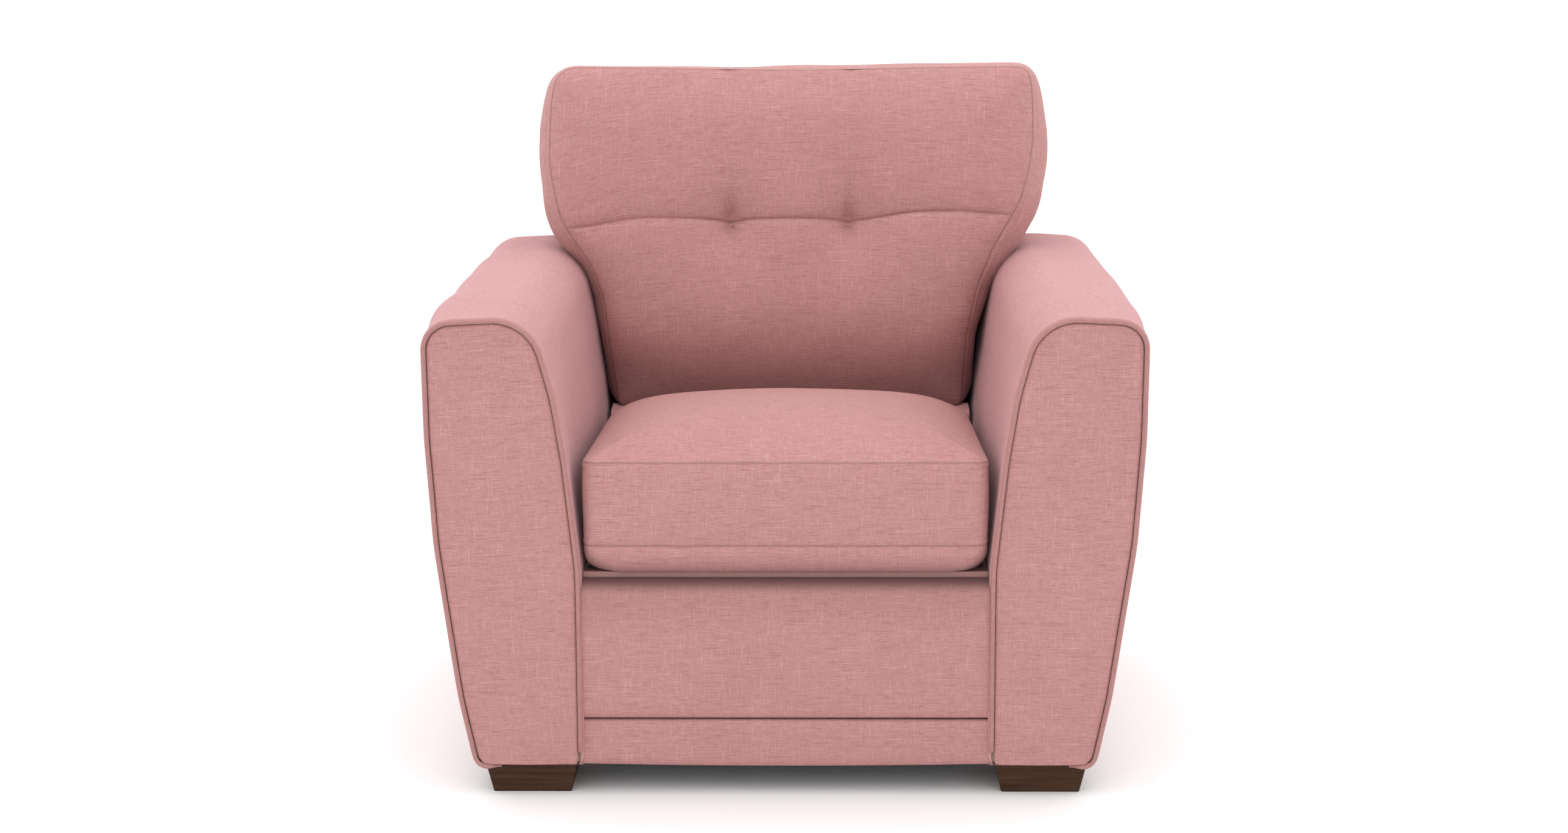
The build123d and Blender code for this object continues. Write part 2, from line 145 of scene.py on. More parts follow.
def waves(seed, count, low, high):
    """A smooth, seeded, random height field: f(u, v) in about -1 to 1, u and v in metres."""
    rng = np.random.default_rng(seed)
    angle = rng.uniform(0, 2 * np.pi, count)
    number = 2 * np.pi / rng.uniform(low, high, count)
    phase = rng.uniform(0, 2 * np.pi, count)

    def field(u, v):
        total = 0
        for a, k, p in zip(angle, number, phase):
            total = total + np.sin(k * (u * np.cos(a) + v * np.sin(a)) + p)
        return total / math.sqrt(count)

    return field


# ---- meshes -------------------------------------------------------------------------------------
def mesh_piece(name, verts, faces, uvs=None):
    """A smooth-shaded object; uvs gives each face's places on the cloth, in metres."""
    mesh = bpy.data.meshes.new(name)
    mesh.from_pydata([tuple(v) for v in verts], [], [tuple(f) for f in faces])
    if uvs is not None:
        layer = mesh.uv_layers.new(name="cloth")
        flat = np.array([uvs[i][k] for i, f in enumerate(faces) for k in range(len(f))], "f4")
        layer.data.foreach_set("uv", flat.ravel())
    mesh.polygons.foreach_set("use_smooth", [True] * len(faces))
    mesh.update()
    piece = bpy.data.objects.new(name, mesh)
    bpy.context.scene.collection.objects.link(piece)
    return piece


class Sheets:
    """Collects grids of points into one mesh; points that coincide are merged at the end."""

    def __init__(self):
        self.verts, self.faces, self.uvs, self.count = [], [], [], 0

    def grid(self, points, cloth, flip=False, closed=False):
        """points is rows x columns x 3 and cloth rows x columns x 2, its place on the cloth."""
        rows, cols = points.shape[:2]
        base = self.count
        self.verts.append(points.reshape(-1, 3))
        self.count += rows * cols
        cloth = cloth.reshape(-1, 2)
        last = cols if closed else cols - 1
        for r in range(rows - 1):
            for c in range(last):
                d = (c + 1) % cols
                quad = [r * cols + c, r * cols + d, (r + 1) * cols + d, (r + 1) * cols + c]
                place = [cloth[q].copy() for q in quad]
                if d == 0:
                    step = cloth[r * cols + c] - cloth[r * cols + c - 1]
                    place[1] = cloth[r * cols + c] + step
                    place[2] = cloth[(r + 1) * cols + c] + step
                if flip:
                    quad.reverse()
                    place.reverse()
                self.faces.append([base + q for q in quad])
                self.uvs.append(place)

    def piece(self, name, merge=1e-5):
        made = mesh_piece(name, np.vstack(self.verts), self.faces, self.uvs)
        merge_points(made, merge)
        return made


def merge_points(piece, distance):
    bm = bmesh.new()
    bm.from_mesh(piece.data)
    bmesh.ops.remove_doubles(bm, verts=bm.verts, dist=distance)
    bm.to_mesh(piece.data)
    bm.free()


def points_of(piece):
    co = np.empty(len(piece.data.vertices) * 3)
    piece.data.vertices.foreach_get("co", co)
    return co.reshape(-1, 3)


def set_points(piece, co):
    piece.data.vertices.foreach_set("co", co.ravel())
    piece.data.update()


def apply_modifiers(piece):
    """Replaces the piece's mesh with what its modifiers make of it."""
    graph = bpy.context.evaluated_depsgraph_get()
    made = bpy.data.meshes.new_from_object(piece.evaluated_get(graph))
    piece.modifiers.clear()
    piece.data = made


def subdivide(piece):
    modifier = piece.modifiers.new("finer", "SUBSURF")
    modifier.levels = modifier.render_levels = 1
    modifier.boundary_smooth = "PRESERVE_CORNERS"
    apply_modifiers(piece)


TUBE_SIDES = 12


def tube(name, path, radius):
    """A round, closed-ended cord along a path of 3-D points, with its own cloth places."""
    tangent = np.gradient(path, axis=0)
    tangent /= np.linalg.norm(tangent, axis=1)[:, None]
    up = np.array([0.0, 1.0, 0.0])
    angles = np.arange(TUBE_SIDES + 1) * 2 * np.pi / TUBE_SIDES
    rings, places = [], []
    for centre, ahead, r, along in zip(path, tangent, radius, run_length(path)):
        side = np.cross(ahead, up)
        side /= np.linalg.norm(side)
        other = np.cross(side, ahead)
        rings.append(
            centre + r * (np.cos(angles)[:, None] * side + np.sin(angles)[:, None] * other)
        )
        turn = angles * r
        places.append(stack(along + turn, turn))
    sheets = Sheets()
    sheets.grid(np.array(rings), np.array(places))
    piece = sheets.piece(name, 1e-6)
    close_ends(piece)
    return piece


def close_ends(piece):
    bm = bmesh.new()
    bm.from_mesh(piece.data)
    edges = [e for e in bm.edges if e.is_boundary]
    bmesh.ops.holes_fill(bm, edges=edges, sides=0)
    bmesh.ops.recalc_face_normals(bm, faces=bm.faces)
    bm.to_mesh(piece.data)
    bm.free()


# ---- node materials -----------------------------------------------------------------------------
class Nodes:
    """Short names for building a material's node tree."""

    def __init__(self, name):
        self.material = bpy.data.materials.new(name)
        self.material.use_nodes = True
        self.tree = self.material.node_tree
        self.shader = self.tree.nodes["Principled BSDF"]

    def link(self, source, target):
        self.tree.links.new(source, target)

    def node(self, kind, **values):
        made = self.tree.nodes.new("ShaderNode" + kind)
        for key, value in values.items():
            setattr(made, key, value)
        return made

    def math(self, operation, a, b=None, c=None):
        made = self.node("Math", operation=operation)
        for socket, value in zip(made.inputs, (a, b, c)):
            if value is None:
                continue
            if hasattr(value, "node"):
                self.link(value, socket)
            else:
                socket.default_value = value
        return made.outputs[0]

    def ramp(self, value, low, high):
        """0 below low, 1 above high, smooth between."""
        made = self.node("MapRange", interpolation_type="SMOOTHSTEP")
        self.link(value, made.inputs["Value"])
        made.inputs["From Min"].default_value = low
        made.inputs["From Max"].default_value = high
        return made.outputs[0]

    def mix(self, share, a, b):
        """Colour a at share 0, b at share 1."""
        made = self.node("Mix", data_type="RGBA")
        for index, value in ((0, share), (6, a), (7, b)):
            if hasattr(value, "node"):
                self.link(value, made.inputs[index])
            elif index == 0:
                made.inputs[index].default_value = value
            else:
                made.inputs[index].default_value = (*value, 1)
        return made.outputs[2]

    def scaled(self, vector, scale):
        made = self.node("VectorMath", operation="MULTIPLY")
        self.link(vector, made.inputs[0])
        made.inputs[1].default_value = scale
        return made.outputs[0]

    def place(self):
        return self.node("TexCoord").outputs["Object"]

    def grain(self, vector, stretch, detail=2, rough=0.6, offset=0.0):
        """Noise with its own frequency along each axis."""
        return self.noise(self.scaled(vector, stretch), 1, detail, rough, offset)

    def noise(self, vector, scale, detail, rough, offset=0.0):
        made = self.node("TexNoise", noise_dimensions="3D")
        if offset:
            moved = self.node("VectorMath", operation="ADD")
            self.link(vector, moved.inputs[0])
            moved.inputs[1].default_value = (offset, offset * 0.7, offset * 1.3)
            vector = moved.outputs[0]
        self.link(vector, made.inputs["Vector"])
        made.inputs["Scale"].default_value = scale
        made.inputs["Detail"].default_value = detail
        made.inputs["Roughness"].default_value = rough
        return made.outputs["Fac"]

    def bump(self, height, strength, distance):
        made = self.node("Bump")
        self.link(height, made.inputs["Height"])
        made.inputs["Strength"].default_value = strength
        made.inputs["Distance"].default_value = distance
        self.link(made.outputs[0], self.shader.inputs["Normal"])

    def set(self, **values):
        for key, value in values.items():
            self.shader.inputs[key.replace("_", " ")].default_value = value

    def surface(self, colour, rough):
        self.link(colour, self.shader.inputs["Base Color"])
        self.link(rough, self.shader.inputs["Roughness"])


THREAD = 0.00130         # spacing of the threads
# Painted shade: a full seam value darkens the cloth this far, along seams and in creases.
PAINTED_SHADE_DEPTH = 0.42        # how far a full seam value goes towards the dark


def cloth_material(name, light, dark, slub=1.0, sheen=0.10):
    """Plain linen weave: warp and weft threads, long slubs, tan flecks, a soft nap, and painted
    shade along seams and in creases.
    """
    m = Nodes(name)
    uv = m.node("UVMap", uv_map="cloth").outputs[0]
    split = m.node("SeparateXYZ")
    m.link(uv, split.inputs[0])
    u, v = split.outputs[0], split.outputs[1]

    # Threads wander a little, so the weave isn't a perfect grid.
    drift = m.noise(uv, 90, 2, 0.5)
    drift = m.math("MULTIPLY", m.math("SUBTRACT", drift, 0.5), THREAD * 1.6)
    wu = m.math("DIVIDE", m.math("ADD", u, drift), THREAD)
    wv = m.math("DIVIDE", m.math("ADD", v, drift), THREAD)
    warp = m.math("ABSOLUTE", m.math("SINE", m.math("MULTIPLY", wu, math.pi)))
    weft = m.math("ABSOLUTE", m.math("SINE", m.math("MULTIPLY", wv, math.pi)))
    cell = m.math("ADD", m.math("FLOOR", wu), m.math("FLOOR", wv))
    over = m.math("PINGPONG", cell, 1.0)
    warp_top = m.math("MULTIPLY", warp, m.math("MULTIPLY_ADD", over, 0.55, 0.45))
    weft_top = m.math(
        "MULTIPLY", weft, m.math("MULTIPLY_ADD", m.math("SUBTRACT", 1.0, over), 0.55, 0.45)
    )
    weave = m.math("MAXIMUM", warp_top, weft_top)

    # Slubs: thick yarns, long in the weft and fewer and shorter in the warp.
    long_slub = m.grain(uv, (17.0, 820.0, 1.0), 2, 0.6)
    light_slub = m.ramp(long_slub, 0.585, 0.665)
    dark_slub = m.ramp(m.grain(uv, (34.0, 860.0, 1.0), 2, 0.6, offset=31.0), 0.57, 0.66)
    cross_slub = m.ramp(m.grain(uv, (820.0, 30.0, 1.0), 2, 0.6, offset=11.0), 0.58, 0.68)
    fleck = m.ramp(m.grain(uv, (300.0, 620.0, 1.0), 3, 0.75, offset=5.0), 0.50, 0.64)
    yarn = m.grain(uv, (90.0, 950.0, 1.0), 2, 0.7, offset=3.0)
    cross_yarn = m.grain(uv, (950.0, 90.0, 1.0), 2, 0.7, offset=7.0)
    broad = m.noise(uv, 7, 3, 0.55, offset=2.0)

    tone = m.math("MULTIPLY_ADD", yarn, 0.5, m.math("MULTIPLY", cross_yarn, 0.5))
    tone = m.ramp(tone, 0.37, 0.63)
    colour = m.mix(tone, dark, light)
    tan = tuple(0.74 * a for a in (light[0], light[1] * 1.04, light[2] * 0.84))
    colour = m.mix(m.math("MULTIPLY", fleck, 0.50), colour, tan)
    pale = tuple(min(1.0, c * 1.25 + 0.04) for c in light)
    deep = (dark[0] * 0.72, dark[1] * 0.60, dark[2] * 0.54)
    colour = m.mix(m.math("MULTIPLY", light_slub, 0.50 * slub), colour, pale)
    colour = m.mix(m.math("MULTIPLY", dark_slub, 0.55 * slub), colour, deep)
    colour = m.mix(m.math("MULTIPLY", cross_slub, 0.34 * slub), colour, pale)
    gap = m.math("MULTIPLY", m.math("SUBTRACT", 1.0, weave), 0.34)
    colour = m.mix(gap, colour, tuple(c * 0.5 for c in dark))
    colour = m.mix(m.math("MULTIPLY", m.math("SUBTRACT", broad, 0.4), 0.22), colour, deep)
    # Painted shade: the "seam" attribute darkens the colour along seams and in the creases where
    # the cushions shade the cloth.
    seam = m.node("Attribute", attribute_name="seam").outputs["Fac"]
    colour = m.mix(m.math("MULTIPLY", seam, PAINTED_SHADE_DEPTH), colour, tuple(c * 0.32 for c in dark))

    m.surface(colour, m.math("MULTIPLY_ADD", weave, -0.08, 0.94))
    m.set(
        Sheen_Weight=sheen, Sheen_Roughness=0.42, Specular_IOR_Level=0.22,
        Sheen_Tint=(1.0, 0.90, 0.93, 1),
    )
    height = m.math("MULTIPLY_ADD", light_slub, 0.5, weave)
    height = m.math("MULTIPLY_ADD", yarn, 0.45, height)
    m.bump(height, 0.42, 0.00045)
    return m.material


def thread_material(name, colour):
    """Twisted sewing thread or twine."""
    m = Nodes(name)
    place = m.place()
    twist = m.grain(place, (900.0, 900.0, 2400.0), 2, 0.5)
    shaded = m.mix(twist, tuple(c * 0.7 for c in colour), colour)
    m.surface(shaded, m.math("MULTIPLY_ADD", twist, 0.2, 0.6))
    m.bump(twist, 0.4, 0.0003)
    return m.material


def foot_material():
    """Dark stained beech: straight grain along X with fine pores, satin lacquer."""
    m = Nodes("stained_wood")
    place = m.place()
    wander = m.grain(place, (6.0, 30.0, 30.0), 3, 0.55)
    ring = m.grain(place, (7.0, 160.0, 160.0), 4, 0.6, offset=4.0)
    pore = m.ramp(m.grain(place, (70.0, 1500.0, 1500.0), 2, 0.6), 0.58, 0.7)
    grain = m.math("MULTIPLY_ADD", wander, 0.4, m.math("MULTIPLY", ring, 0.7))
    colour = m.mix(m.ramp(grain, 0.35, 0.75), (0.034, 0.0155, 0.0092), (0.070, 0.036, 0.021))
    colour = m.mix(m.math("MULTIPLY", pore, 0.6), colour, (0.012, 0.006, 0.004))
    m.surface(colour, m.math("MULTIPLY_ADD", ring, 0.25, 0.36))
    m.set(Coat_Weight=0.03, Coat_Roughness=0.35, Specular_IOR_Level=0.07)
    m.bump(m.math("SUBTRACT", ring, pore), 0.18, 0.0004)
    return m.material


def board_material(name, light, dark):
    """Bare board or plywood: level grain, its rings closest together up the height."""
    m = Nodes(name)
    place = m.place()
    ring = m.grain(place, (9.0, 9.0, 60.0), 4, 0.6)
    fibre = m.grain(place, (60.0, 60.0, 900.0), 2, 0.6, offset=3.0)
    colour = m.mix(m.ramp(ring, 0.3, 0.7), dark, light)
    colour = m.mix(m.math("MULTIPLY", fibre, 0.35), colour, tuple(c * 0.72 for c in dark))
    m.surface(colour, m.math("MULTIPLY_ADD", fibre, 0.2, 0.6))
    m.bump(fibre, 0.25, 0.0004)
    return m.material


def foam_material(name, light, dark, scale=900.0):
    """Open-celled foam, or felt at a coarser scale."""
    m = Nodes(name)
    place = m.place()
    cells = m.node("TexVoronoi", feature="F1")
    m.link(place, cells.inputs["Vector"])
    cells.inputs["Scale"].default_value = scale
    cell = cells.outputs["Distance"]
    broad = m.noise(place, 12, 3, 0.5)
    colour = m.mix(m.math("MULTIPLY_ADD", broad, 0.5, m.math("MULTIPLY", cell, 0.4)), dark, light)
    m.surface(colour, m.math("MULTIPLY_ADD", cell, 0.1, 0.85))
    m.bump(cell, 0.5, 0.0006)
    return m.material


def metal_material(name, colour, rough):
    """Plated metal with fine scratches and broad, faint stains."""
    m = Nodes(name)
    place = m.place()
    scratch = m.grain(place, (1400.0, 90.0, 1400.0), 3, 0.6)
    stain = m.noise(place, 25, 3, 0.55, offset=2.0)
    shaded = m.mix(m.ramp(stain, 0.35, 0.7), tuple(c * 0.8 for c in colour), colour)
    m.surface(shaded, m.math("MULTIPLY_ADD", scratch, 0.25, rough - 0.1))
    m.set(Metallic=1.0)
    m.bump(scratch, 0.12, 0.0002)
    return m.material


def plain_cloth_material(name, light, dark, scale):
    """Lining, felt and dust cover: woven or needled without a cloth map."""
    m = Nodes(name)
    place = m.place()
    fine = m.noise(place, scale, 3, 0.6)
    broad = m.noise(place, 15, 3, 0.5, offset=5.0)
    colour = m.mix(m.ramp(fine, 0.3, 0.7), dark, light)
    colour = m.mix(m.math("MULTIPLY", broad, 0.25), colour, dark)
    m.surface(colour, m.math("MULTIPLY_ADD", fine, -0.1, 0.95))
    m.bump(fine, 0.4, 0.0005)
    return m.material


PINK_LIGHT, PINK_DARK = (0.498, 0.260, 0.250), (0.412, 0.195, 0.190)
LINEN = cloth_material("linen", PINK_LIGHT, PINK_DARK)
# A copy of the same linen with fewer slubs, for the arm sleeves, tuck-in panel and back frame
# sleeve; its lighter, bluer colour is painted sheen and light.
LINEN_PAINTED_SHEEN = cloth_material(
    "linen_along_painted_sheen", (0.542, 0.286, 0.294), (0.455, 0.216, 0.224), slub=0.55, sheen=0.15
)
LINEN_PIPING = cloth_material(
    "linen_piping", (0.440, 0.228, 0.218), (0.370, 0.180, 0.173), slub=0.4
)


def finish_piece(piece, body, material, slot, *nodes):
    """Gives the piece its cloth and body, and has it stand for the CAD nodes; slot is not used."""
    piece.data.materials.clear()
    piece.data.materials.append(material)
    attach(piece, body)
    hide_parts(*nodes)
    return piece


# ---- filling grids ------------------------------------------------------------------------------
def at_shares(line, shares):
    """Points at the given shares of an open polyline's length."""
    along = run_length(line)
    t = np.asarray(shares) * along[-1]
    return np.stack([np.interp(t, along, line[:, k]) for k in range(line.shape[1])], 1)


def shares(length, step, fine=(0.0018, 0.0045, 0.0085), dense=()):
    """Shares 0 to 1 of a length, about step apart, closer at both ends and round dense places."""
    fine = np.array(fine)
    start, end = fine[-1], length - fine[-1]
    probe = np.linspace(start, end, 2000)
    weight = np.ones_like(probe)
    for place in dense:
        weight += 1.8 * np.exp(-(((probe - place) / 0.018) ** 2))
    total = np.concatenate([[0], np.cumsum((weight[1:] + weight[:-1]) / 2)])
    count = max(2, int(round(total[-1] / total.size * (end - start) / step)) + 1)
    inner = np.interp(np.linspace(0, total[-1], count), total, probe)
    return np.concatenate([[0], fine[:-1], inner, length - fine[:-1][::-1], [length]]) / length


def coons(bottom, right, top, left, s, t):
    """Transfinite grid between four edges; bottom and top run left to right, sides run up."""
    bottom, top = at_shares(bottom, s), at_shares(top, s)
    left, right = at_shares(left, t), at_shares(right, t)
    s, t = s[None, :, None], t[:, None, None]
    corners = (
        (1 - s) * (1 - t) * bottom[0]
        + s * (1 - t) * bottom[-1]
        + (1 - s) * t * top[0]
        + s * t * top[-1]
    )
    upright = (1 - t) * bottom[None] + t * top[None]
    return upright + (1 - s) * left[:, None] + s * right[:, None] - corners


def rim(grid):
    """The grid's edge, counter-clockwise from its first corner."""
    return np.vstack([grid[0, :-1], grid[:-1, -1], grid[-1, ::-1][:-1], grid[::-1, 0][:-1]])


def closest(points, line, closed=True):
    """Each point's nearest place on a polyline, and how far away it is."""
    flat = points.reshape(-1, 2)
    best = np.full(len(flat), 1e9)
    place = np.zeros_like(flat)
    ends = np.roll(line, -1, 0)
    if not closed:
        line, ends = line[:-1], ends[:-1]
    for p, q in zip(line, ends - line):
        t = np.clip(((flat - p) @ q) / (q @ q), 0, 1)
        spot = p + t[:, None] * q
        gap = np.linalg.norm(flat - spot, axis=1)
        nearer = gap < best
        best[nearer], place[nearer] = gap[nearer], spot[nearer]
    return place.reshape(points.shape), best.reshape(points.shape[:-1])


def nearest(points, line, closed=True):
    return closest(points, line, closed)[1]


def split_at(line, *tests):
    """Cuts a closed outline at the points where each test is largest, first test first."""
    line = np.roll(line, -int(np.argmax(tests[0](line[:, 0], line[:, 1]))), 0)
    cuts = [0] + [int(np.argmax(test(line[:, 0], line[:, 1]))) for test in tests[1:]]
    cuts.append(len(line))
    return [looped(line)[a : b + 1] for a, b in zip(cuts, cuts[1:])]


def four_edges(line, tall=1.0):
    """An outline's bottom, right, top and left edges, cut at its four corners."""
    bottom, right, top, left = split_at(
        line,
        lambda a, b: -a - tall * b,
        lambda a, b: a - tall * b,
        lambda a, b: a + tall * b,
        lambda a, b: -a + tall * b,
    )
    return bottom, right, top[::-1], left[::-1]


# ---- simulated padding --------------------------------------------------------------------------
PRESSURE, STIFFNESS, BENDING, CLOTH_MASS = 3.0, 18.0, 1.2, 0.35
CLOTH_FRAMES = 20


def inflate(piece, held, cap):
    """Presses a closed, padded piece out as cloth, by cap at most.

    held is 1 for points that stay where they are, such as seams and tufts, down to 0 for free."""
    start = points_of(piece)
    group = piece.vertex_groups.new(name="held")
    held = np.round(held, 2)
    for share in np.unique(held):
        if share > 0:
            chosen = np.where(held == share)[0]
            group.add([int(i) for i in chosen], float(share), "REPLACE")
    cloth = piece.modifiers.new("cloth", "CLOTH")
    settings = cloth.settings
    settings.quality = 6
    settings.mass = CLOTH_MASS
    settings.tension_stiffness = settings.compression_stiffness = STIFFNESS
    settings.shear_stiffness = 0.5 * STIFFNESS
    settings.bending_stiffness = BENDING
    settings.use_pressure = True
    settings.uniform_pressure_force = PRESSURE
    settings.vertex_group_mass = "held"
    settings.pin_stiffness = 1.0
    settings.effector_weights.gravity = 0
    cloth.collision_settings.use_collision = False
    cloth.point_cache.frame_start, cloth.point_cache.frame_end = 1, CLOTH_FRAMES
    scene = bpy.context.scene
    for number in range(1, CLOTH_FRAMES + 1):
        scene.frame_set(number)
    graph = bpy.context.evaluated_depsgraph_get()
    done = points_of(piece.evaluated_get(graph))
    piece.modifiers.clear()
    piece.vertex_groups.clear()
    scene.frame_set(1)
    moved = done - start
    size = np.linalg.norm(moved, axis=1)
    share = np.minimum(1, cap / np.maximum(size, 1e-9))
    set_points(piece, start + moved * share[:, None])


def paint_shade(piece, amount):
    """Stores each point's share of painted shade, along seams and in creases, for the cloth's
    material.
    """
    layer = piece.data.attributes.new("seam", "FLOAT", "POINT")
    layer.data.foreach_set("value", np.asarray(amount, np.float32))


def close_to(points, lines, width):
    """1 on the lines, falling to 0 away from them; lines are 3-D polylines."""
    places = np.vstack([resample(line, False, 0.001) for line in lines])
    tree = KDTree(len(places))
    for i, place in enumerate(places):
        tree.insert(place, i)
    tree.balance()
    gap = np.array([tree.find(p)[2] for p in points])
    return np.exp(-((gap / width) ** 2))


# ---- arms ---------------------------------------------------------------------------------------
ARM_LO, ARM_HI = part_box("right_arm_cover")
FACING_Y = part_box("right_arm_facing")[0].y
LIP = 0.008              # from the facing's seam out to the sleeve's face
PIPE_R = 0.0032
BASE_Z = ARM_LO.z
REAR_Y = ARM_HI.y
FRONT_ROUND, BACK_ROUND = 0.0045, 0.0060   # where the sleeve turns in, front and rear
REAR_ROUND = 0.028       # the sleeve's top rear edge
REAR_SLOPE = 0.035       # how far the rear leans back, per metre of height

# The facing's seam, half of the chair, from the bottom of the seat side up and round.
ARM_SEAM = [
    (0.2855, 0.0455, 0.002),
    (0.2852, 0.318, 0.400),
    (0.3010, 0.468, 0.500),
    (0.3150, 0.558, 0.400),
    (0.3440, 0.662, 0.062),
    (0.4805, 0.655, 0.034),
    (0.4790, 0.500, 0.500),
    (0.4695, 0.355, 0.500),
    (0.4395, 0.140, 0.500),
    (0.4200, 0.0455, 0.014),
]


def anticlockwise(line):
    x, z = line[:, 0], line[:, 1]
    area = 0.5 * np.sum(x * np.roll(z, -1) - z * np.roll(x, -1))
    return line if area > 0 else line[::-1]


ARM_LINE = anticlockwise(rounded(ARM_SEAM, True, 0.0065))
LEFT_SPLAY = 0.0030      # the left arm's outer side stands out a little further at its foot


def placed(x, z, sign):
    """Half-outline x to the chair's own: mirrored for the left, with its splay."""
    splay = LEFT_SPLAY * smooth_step(0.50, 0.12, z) * smooth_step(0.33, 0.40, x)
    return x if sign > 0 else -x - splay


def edge_rounding(radius, count):
    """Steps (along, inset) of a quarter circle, from its start on the front to the side."""
    angles = np.linspace(0, math.pi / 2, count)
    return [(radius * (1 - math.cos(a)), radius * (1 - math.sin(a))) for a in angles]


def arm_sleeve(side, sign):
    """One length of cloth round the arm, turned in behind the piping and at the rear."""
    along = around(ARM_LINE)
    puff = waves(11 if sign > 0 else 12, 7, 0.18, 0.5)
    front = FACING_Y + 0.0030
    stations = [("front", a, i) for a, i in edge_rounding(FRONT_ROUND, 5)]
    stations += [("body", share, 0.0) for share in np.linspace(0, 1, 112)[1:-1]]
    stations += [("rear", a, i) for a, i in edge_rounding(BACK_ROUND, 5)[::-1]]
    stations.append(("rear", 0.0, 0.016))
    top = ARM_LINE[:, 1].max() + LIP
    rows, places = [], []
    for kind, step, inset in stations:
        line = grown(ARM_LINE, LIP - inset)
        x, z = line[:, 0], np.maximum(line[:, 1], BASE_Z)
        y_end = REAR_Y - REAR_SLOPE * (top - z)
        if kind == "front":
            y = front + step
        elif kind == "body":
            y = front + FRONT_ROUND + (y_end - BACK_ROUND - front - FRONT_ROUND) * step
        else:
            y = y_end - step
        middle = smooth_step(0.005, 0.16, y - front) * smooth_step(0.0, 0.06, y_end - y)
        tangent = tangents(line)
        high = smooth_step(0.52, 0.66, z)
        free = smooth_step(BASE_Z + 0.004, BASE_Z + 0.03, z)
        lift = middle * (0.0012 * puff(along, y) + 0.0014 + 0.0066 * high) * free
        x = x + tangent[:, 1] * lift
        z = z - tangent[:, 0] * lift
        past = np.clip((y - (y_end - REAR_ROUND)) / REAR_ROUND, 0, 1)
        limit = top + 0.008 - REAR_ROUND * (1 - np.sqrt(1 - past**2))
        z = np.minimum(z, limit)
        rows.append(stack(placed(x, z, sign), y, z))
        places.append(stack(y, along))
    sheets = Sheets()
    sheets.grid(np.array(rows), np.array(places), flip=sign > 0, closed=True)
    return sheets.piece(f"{side}_arm_sleeve")


def arm_facing(side, sign):
    """The facing: a lightly padded panel under its piping, turned under at the bottom."""
    edges = four_edges(ARM_LINE)
    grid = coons(*edges, shares(0.16, 0.006), shares(0.60, 0.006))
    piped = np.vstack([edges[3], edges[2][1:], edges[1][::-1][1:]])
    gap = nearest(grid, piped, closed=False)
    ripple = waves(21 if sign > 0 else 22, 6, 0.10, 0.35)
    rise = 0.0032 * (1 - np.exp(-gap / 0.0016)) + 0.0032 * (1 - np.exp(-gap / 0.05))
    rise = rise + 0.0008 * ripple(grid[..., 0], grid[..., 1]) * smooth_step(0, 0.03, gap)
    x, y, z = grid[..., 0], FACING_Y + 0.0038 - rise, grid[..., 1]
    hem = [(0.020, 0.0022), (0.006, 0.0022), (0.0022, 0.0016), (0.0006, 0.0006)]
    x = np.vstack([np.repeat(x[:1], len(hem), 0), x])
    y = np.vstack([[y[0] + back for back, _ in hem], y]).reshape(x.shape)
    z = np.vstack([[z[0] - down for _, down in hem], z]).reshape(x.shape)
    x = placed(x, z, sign)
    tilt = 0.045 if sign < 0 else -0.012
    sheets = Sheets()
    sheets.grid(stack(x, y, z), stack(x + tilt * z, z - tilt * x), flip=sign < 0)
    piece = sheets.piece(f"{side}_arm_facing_panel")
    subdivide(piece)
    co = points_of(piece)
    # Painted shade along the piped seam round the facing.
    seam = stack(placed(piped[:, 0], piped[:, 1], sign), piped[:, 1])
    gap = nearest(co[:, [0, 2]], seam, closed=False)
    paint_shade(piece, np.exp(-((gap / 0.0014) ** 2)))
    return piece


def arm_piping(side, sign):
    """Self piping: a covered cord along the seam, from under the seat side to the outer corner."""
    foot = ARM_SEAM[-1][0]
    route = [(ARM_SEAM[0][0], BASE_Z - 0.0010, 0)] + ARM_SEAM[1:-1]
    route += [(foot, BASE_Z + 0.0015, 0.015), (foot - 0.030, BASE_Z + 0.0010, 0)]
    line = rounded(route, False, 0.0045)
    line = grown(line, -PIPE_R * 0.95, closed=False)
    under = smooth_step(foot - 0.010, foot - 0.028, line[:, 0]) * (line[:, 1] < BASE_Z + 0.02)
    y = FACING_Y + 0.0014 + 0.010 * under
    path = stack(placed(line[:, 0], line[:, 1], sign), y, line[:, 1])
    wobble = np.random.default_rng(5).normal(0, 0.00008, len(path))
    return tube(f"{side}_arm_piping_cord", path, PIPE_R + wobble)


for side, sign in (("left", -1), ("right", 1)):
    sleeve = arm_sleeve(side, sign)
    subdivide(sleeve)
    finish_piece(sleeve, ROOT, LINEN_PAINTED_SHEEN, "linen", f"{side}_arm_cover", f"{side}_arm_foam")
    facing = finish_piece(arm_facing(side, sign), ROOT, LINEN, "linen", f"{side}_arm_facing")
    piping = arm_piping(side, sign)
    finish_piece(piping, ROOT, LINEN_PIPING, "linen_piping", f"{side}_arm_piping")


# ---- front border -------------------------------------------------------------------------------
BORDER_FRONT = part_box("front_border")[0].y
SEAM_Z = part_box("front_band")[1].z
DECK_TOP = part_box("seat_deck")[1].z + 0.004
HALF_SEAT = 0.2800


def front_border():
    """Upper panel: rolls over the front rail at its top, and tucks into the seam below."""
    profile = [
        (0.014, SEAM_Z + 0.0010, 0),
        (0.0014, SEAM_Z + 0.0008, 0.0015),
        (-0.0022, SEAM_Z + 0.009, 0.014),
        (-0.0030, 0.250, 0.060),
        (-0.0030, 0.3040, 0.0235),
        (0.0225, 0.3045, 0.003),
        (0.0255, 0.3126, 0.003),
        (0.0500, 0.3130, 0),
    ]
    return seat_wide("front_border_panel", profile, 31, 0.0016, 0.0)


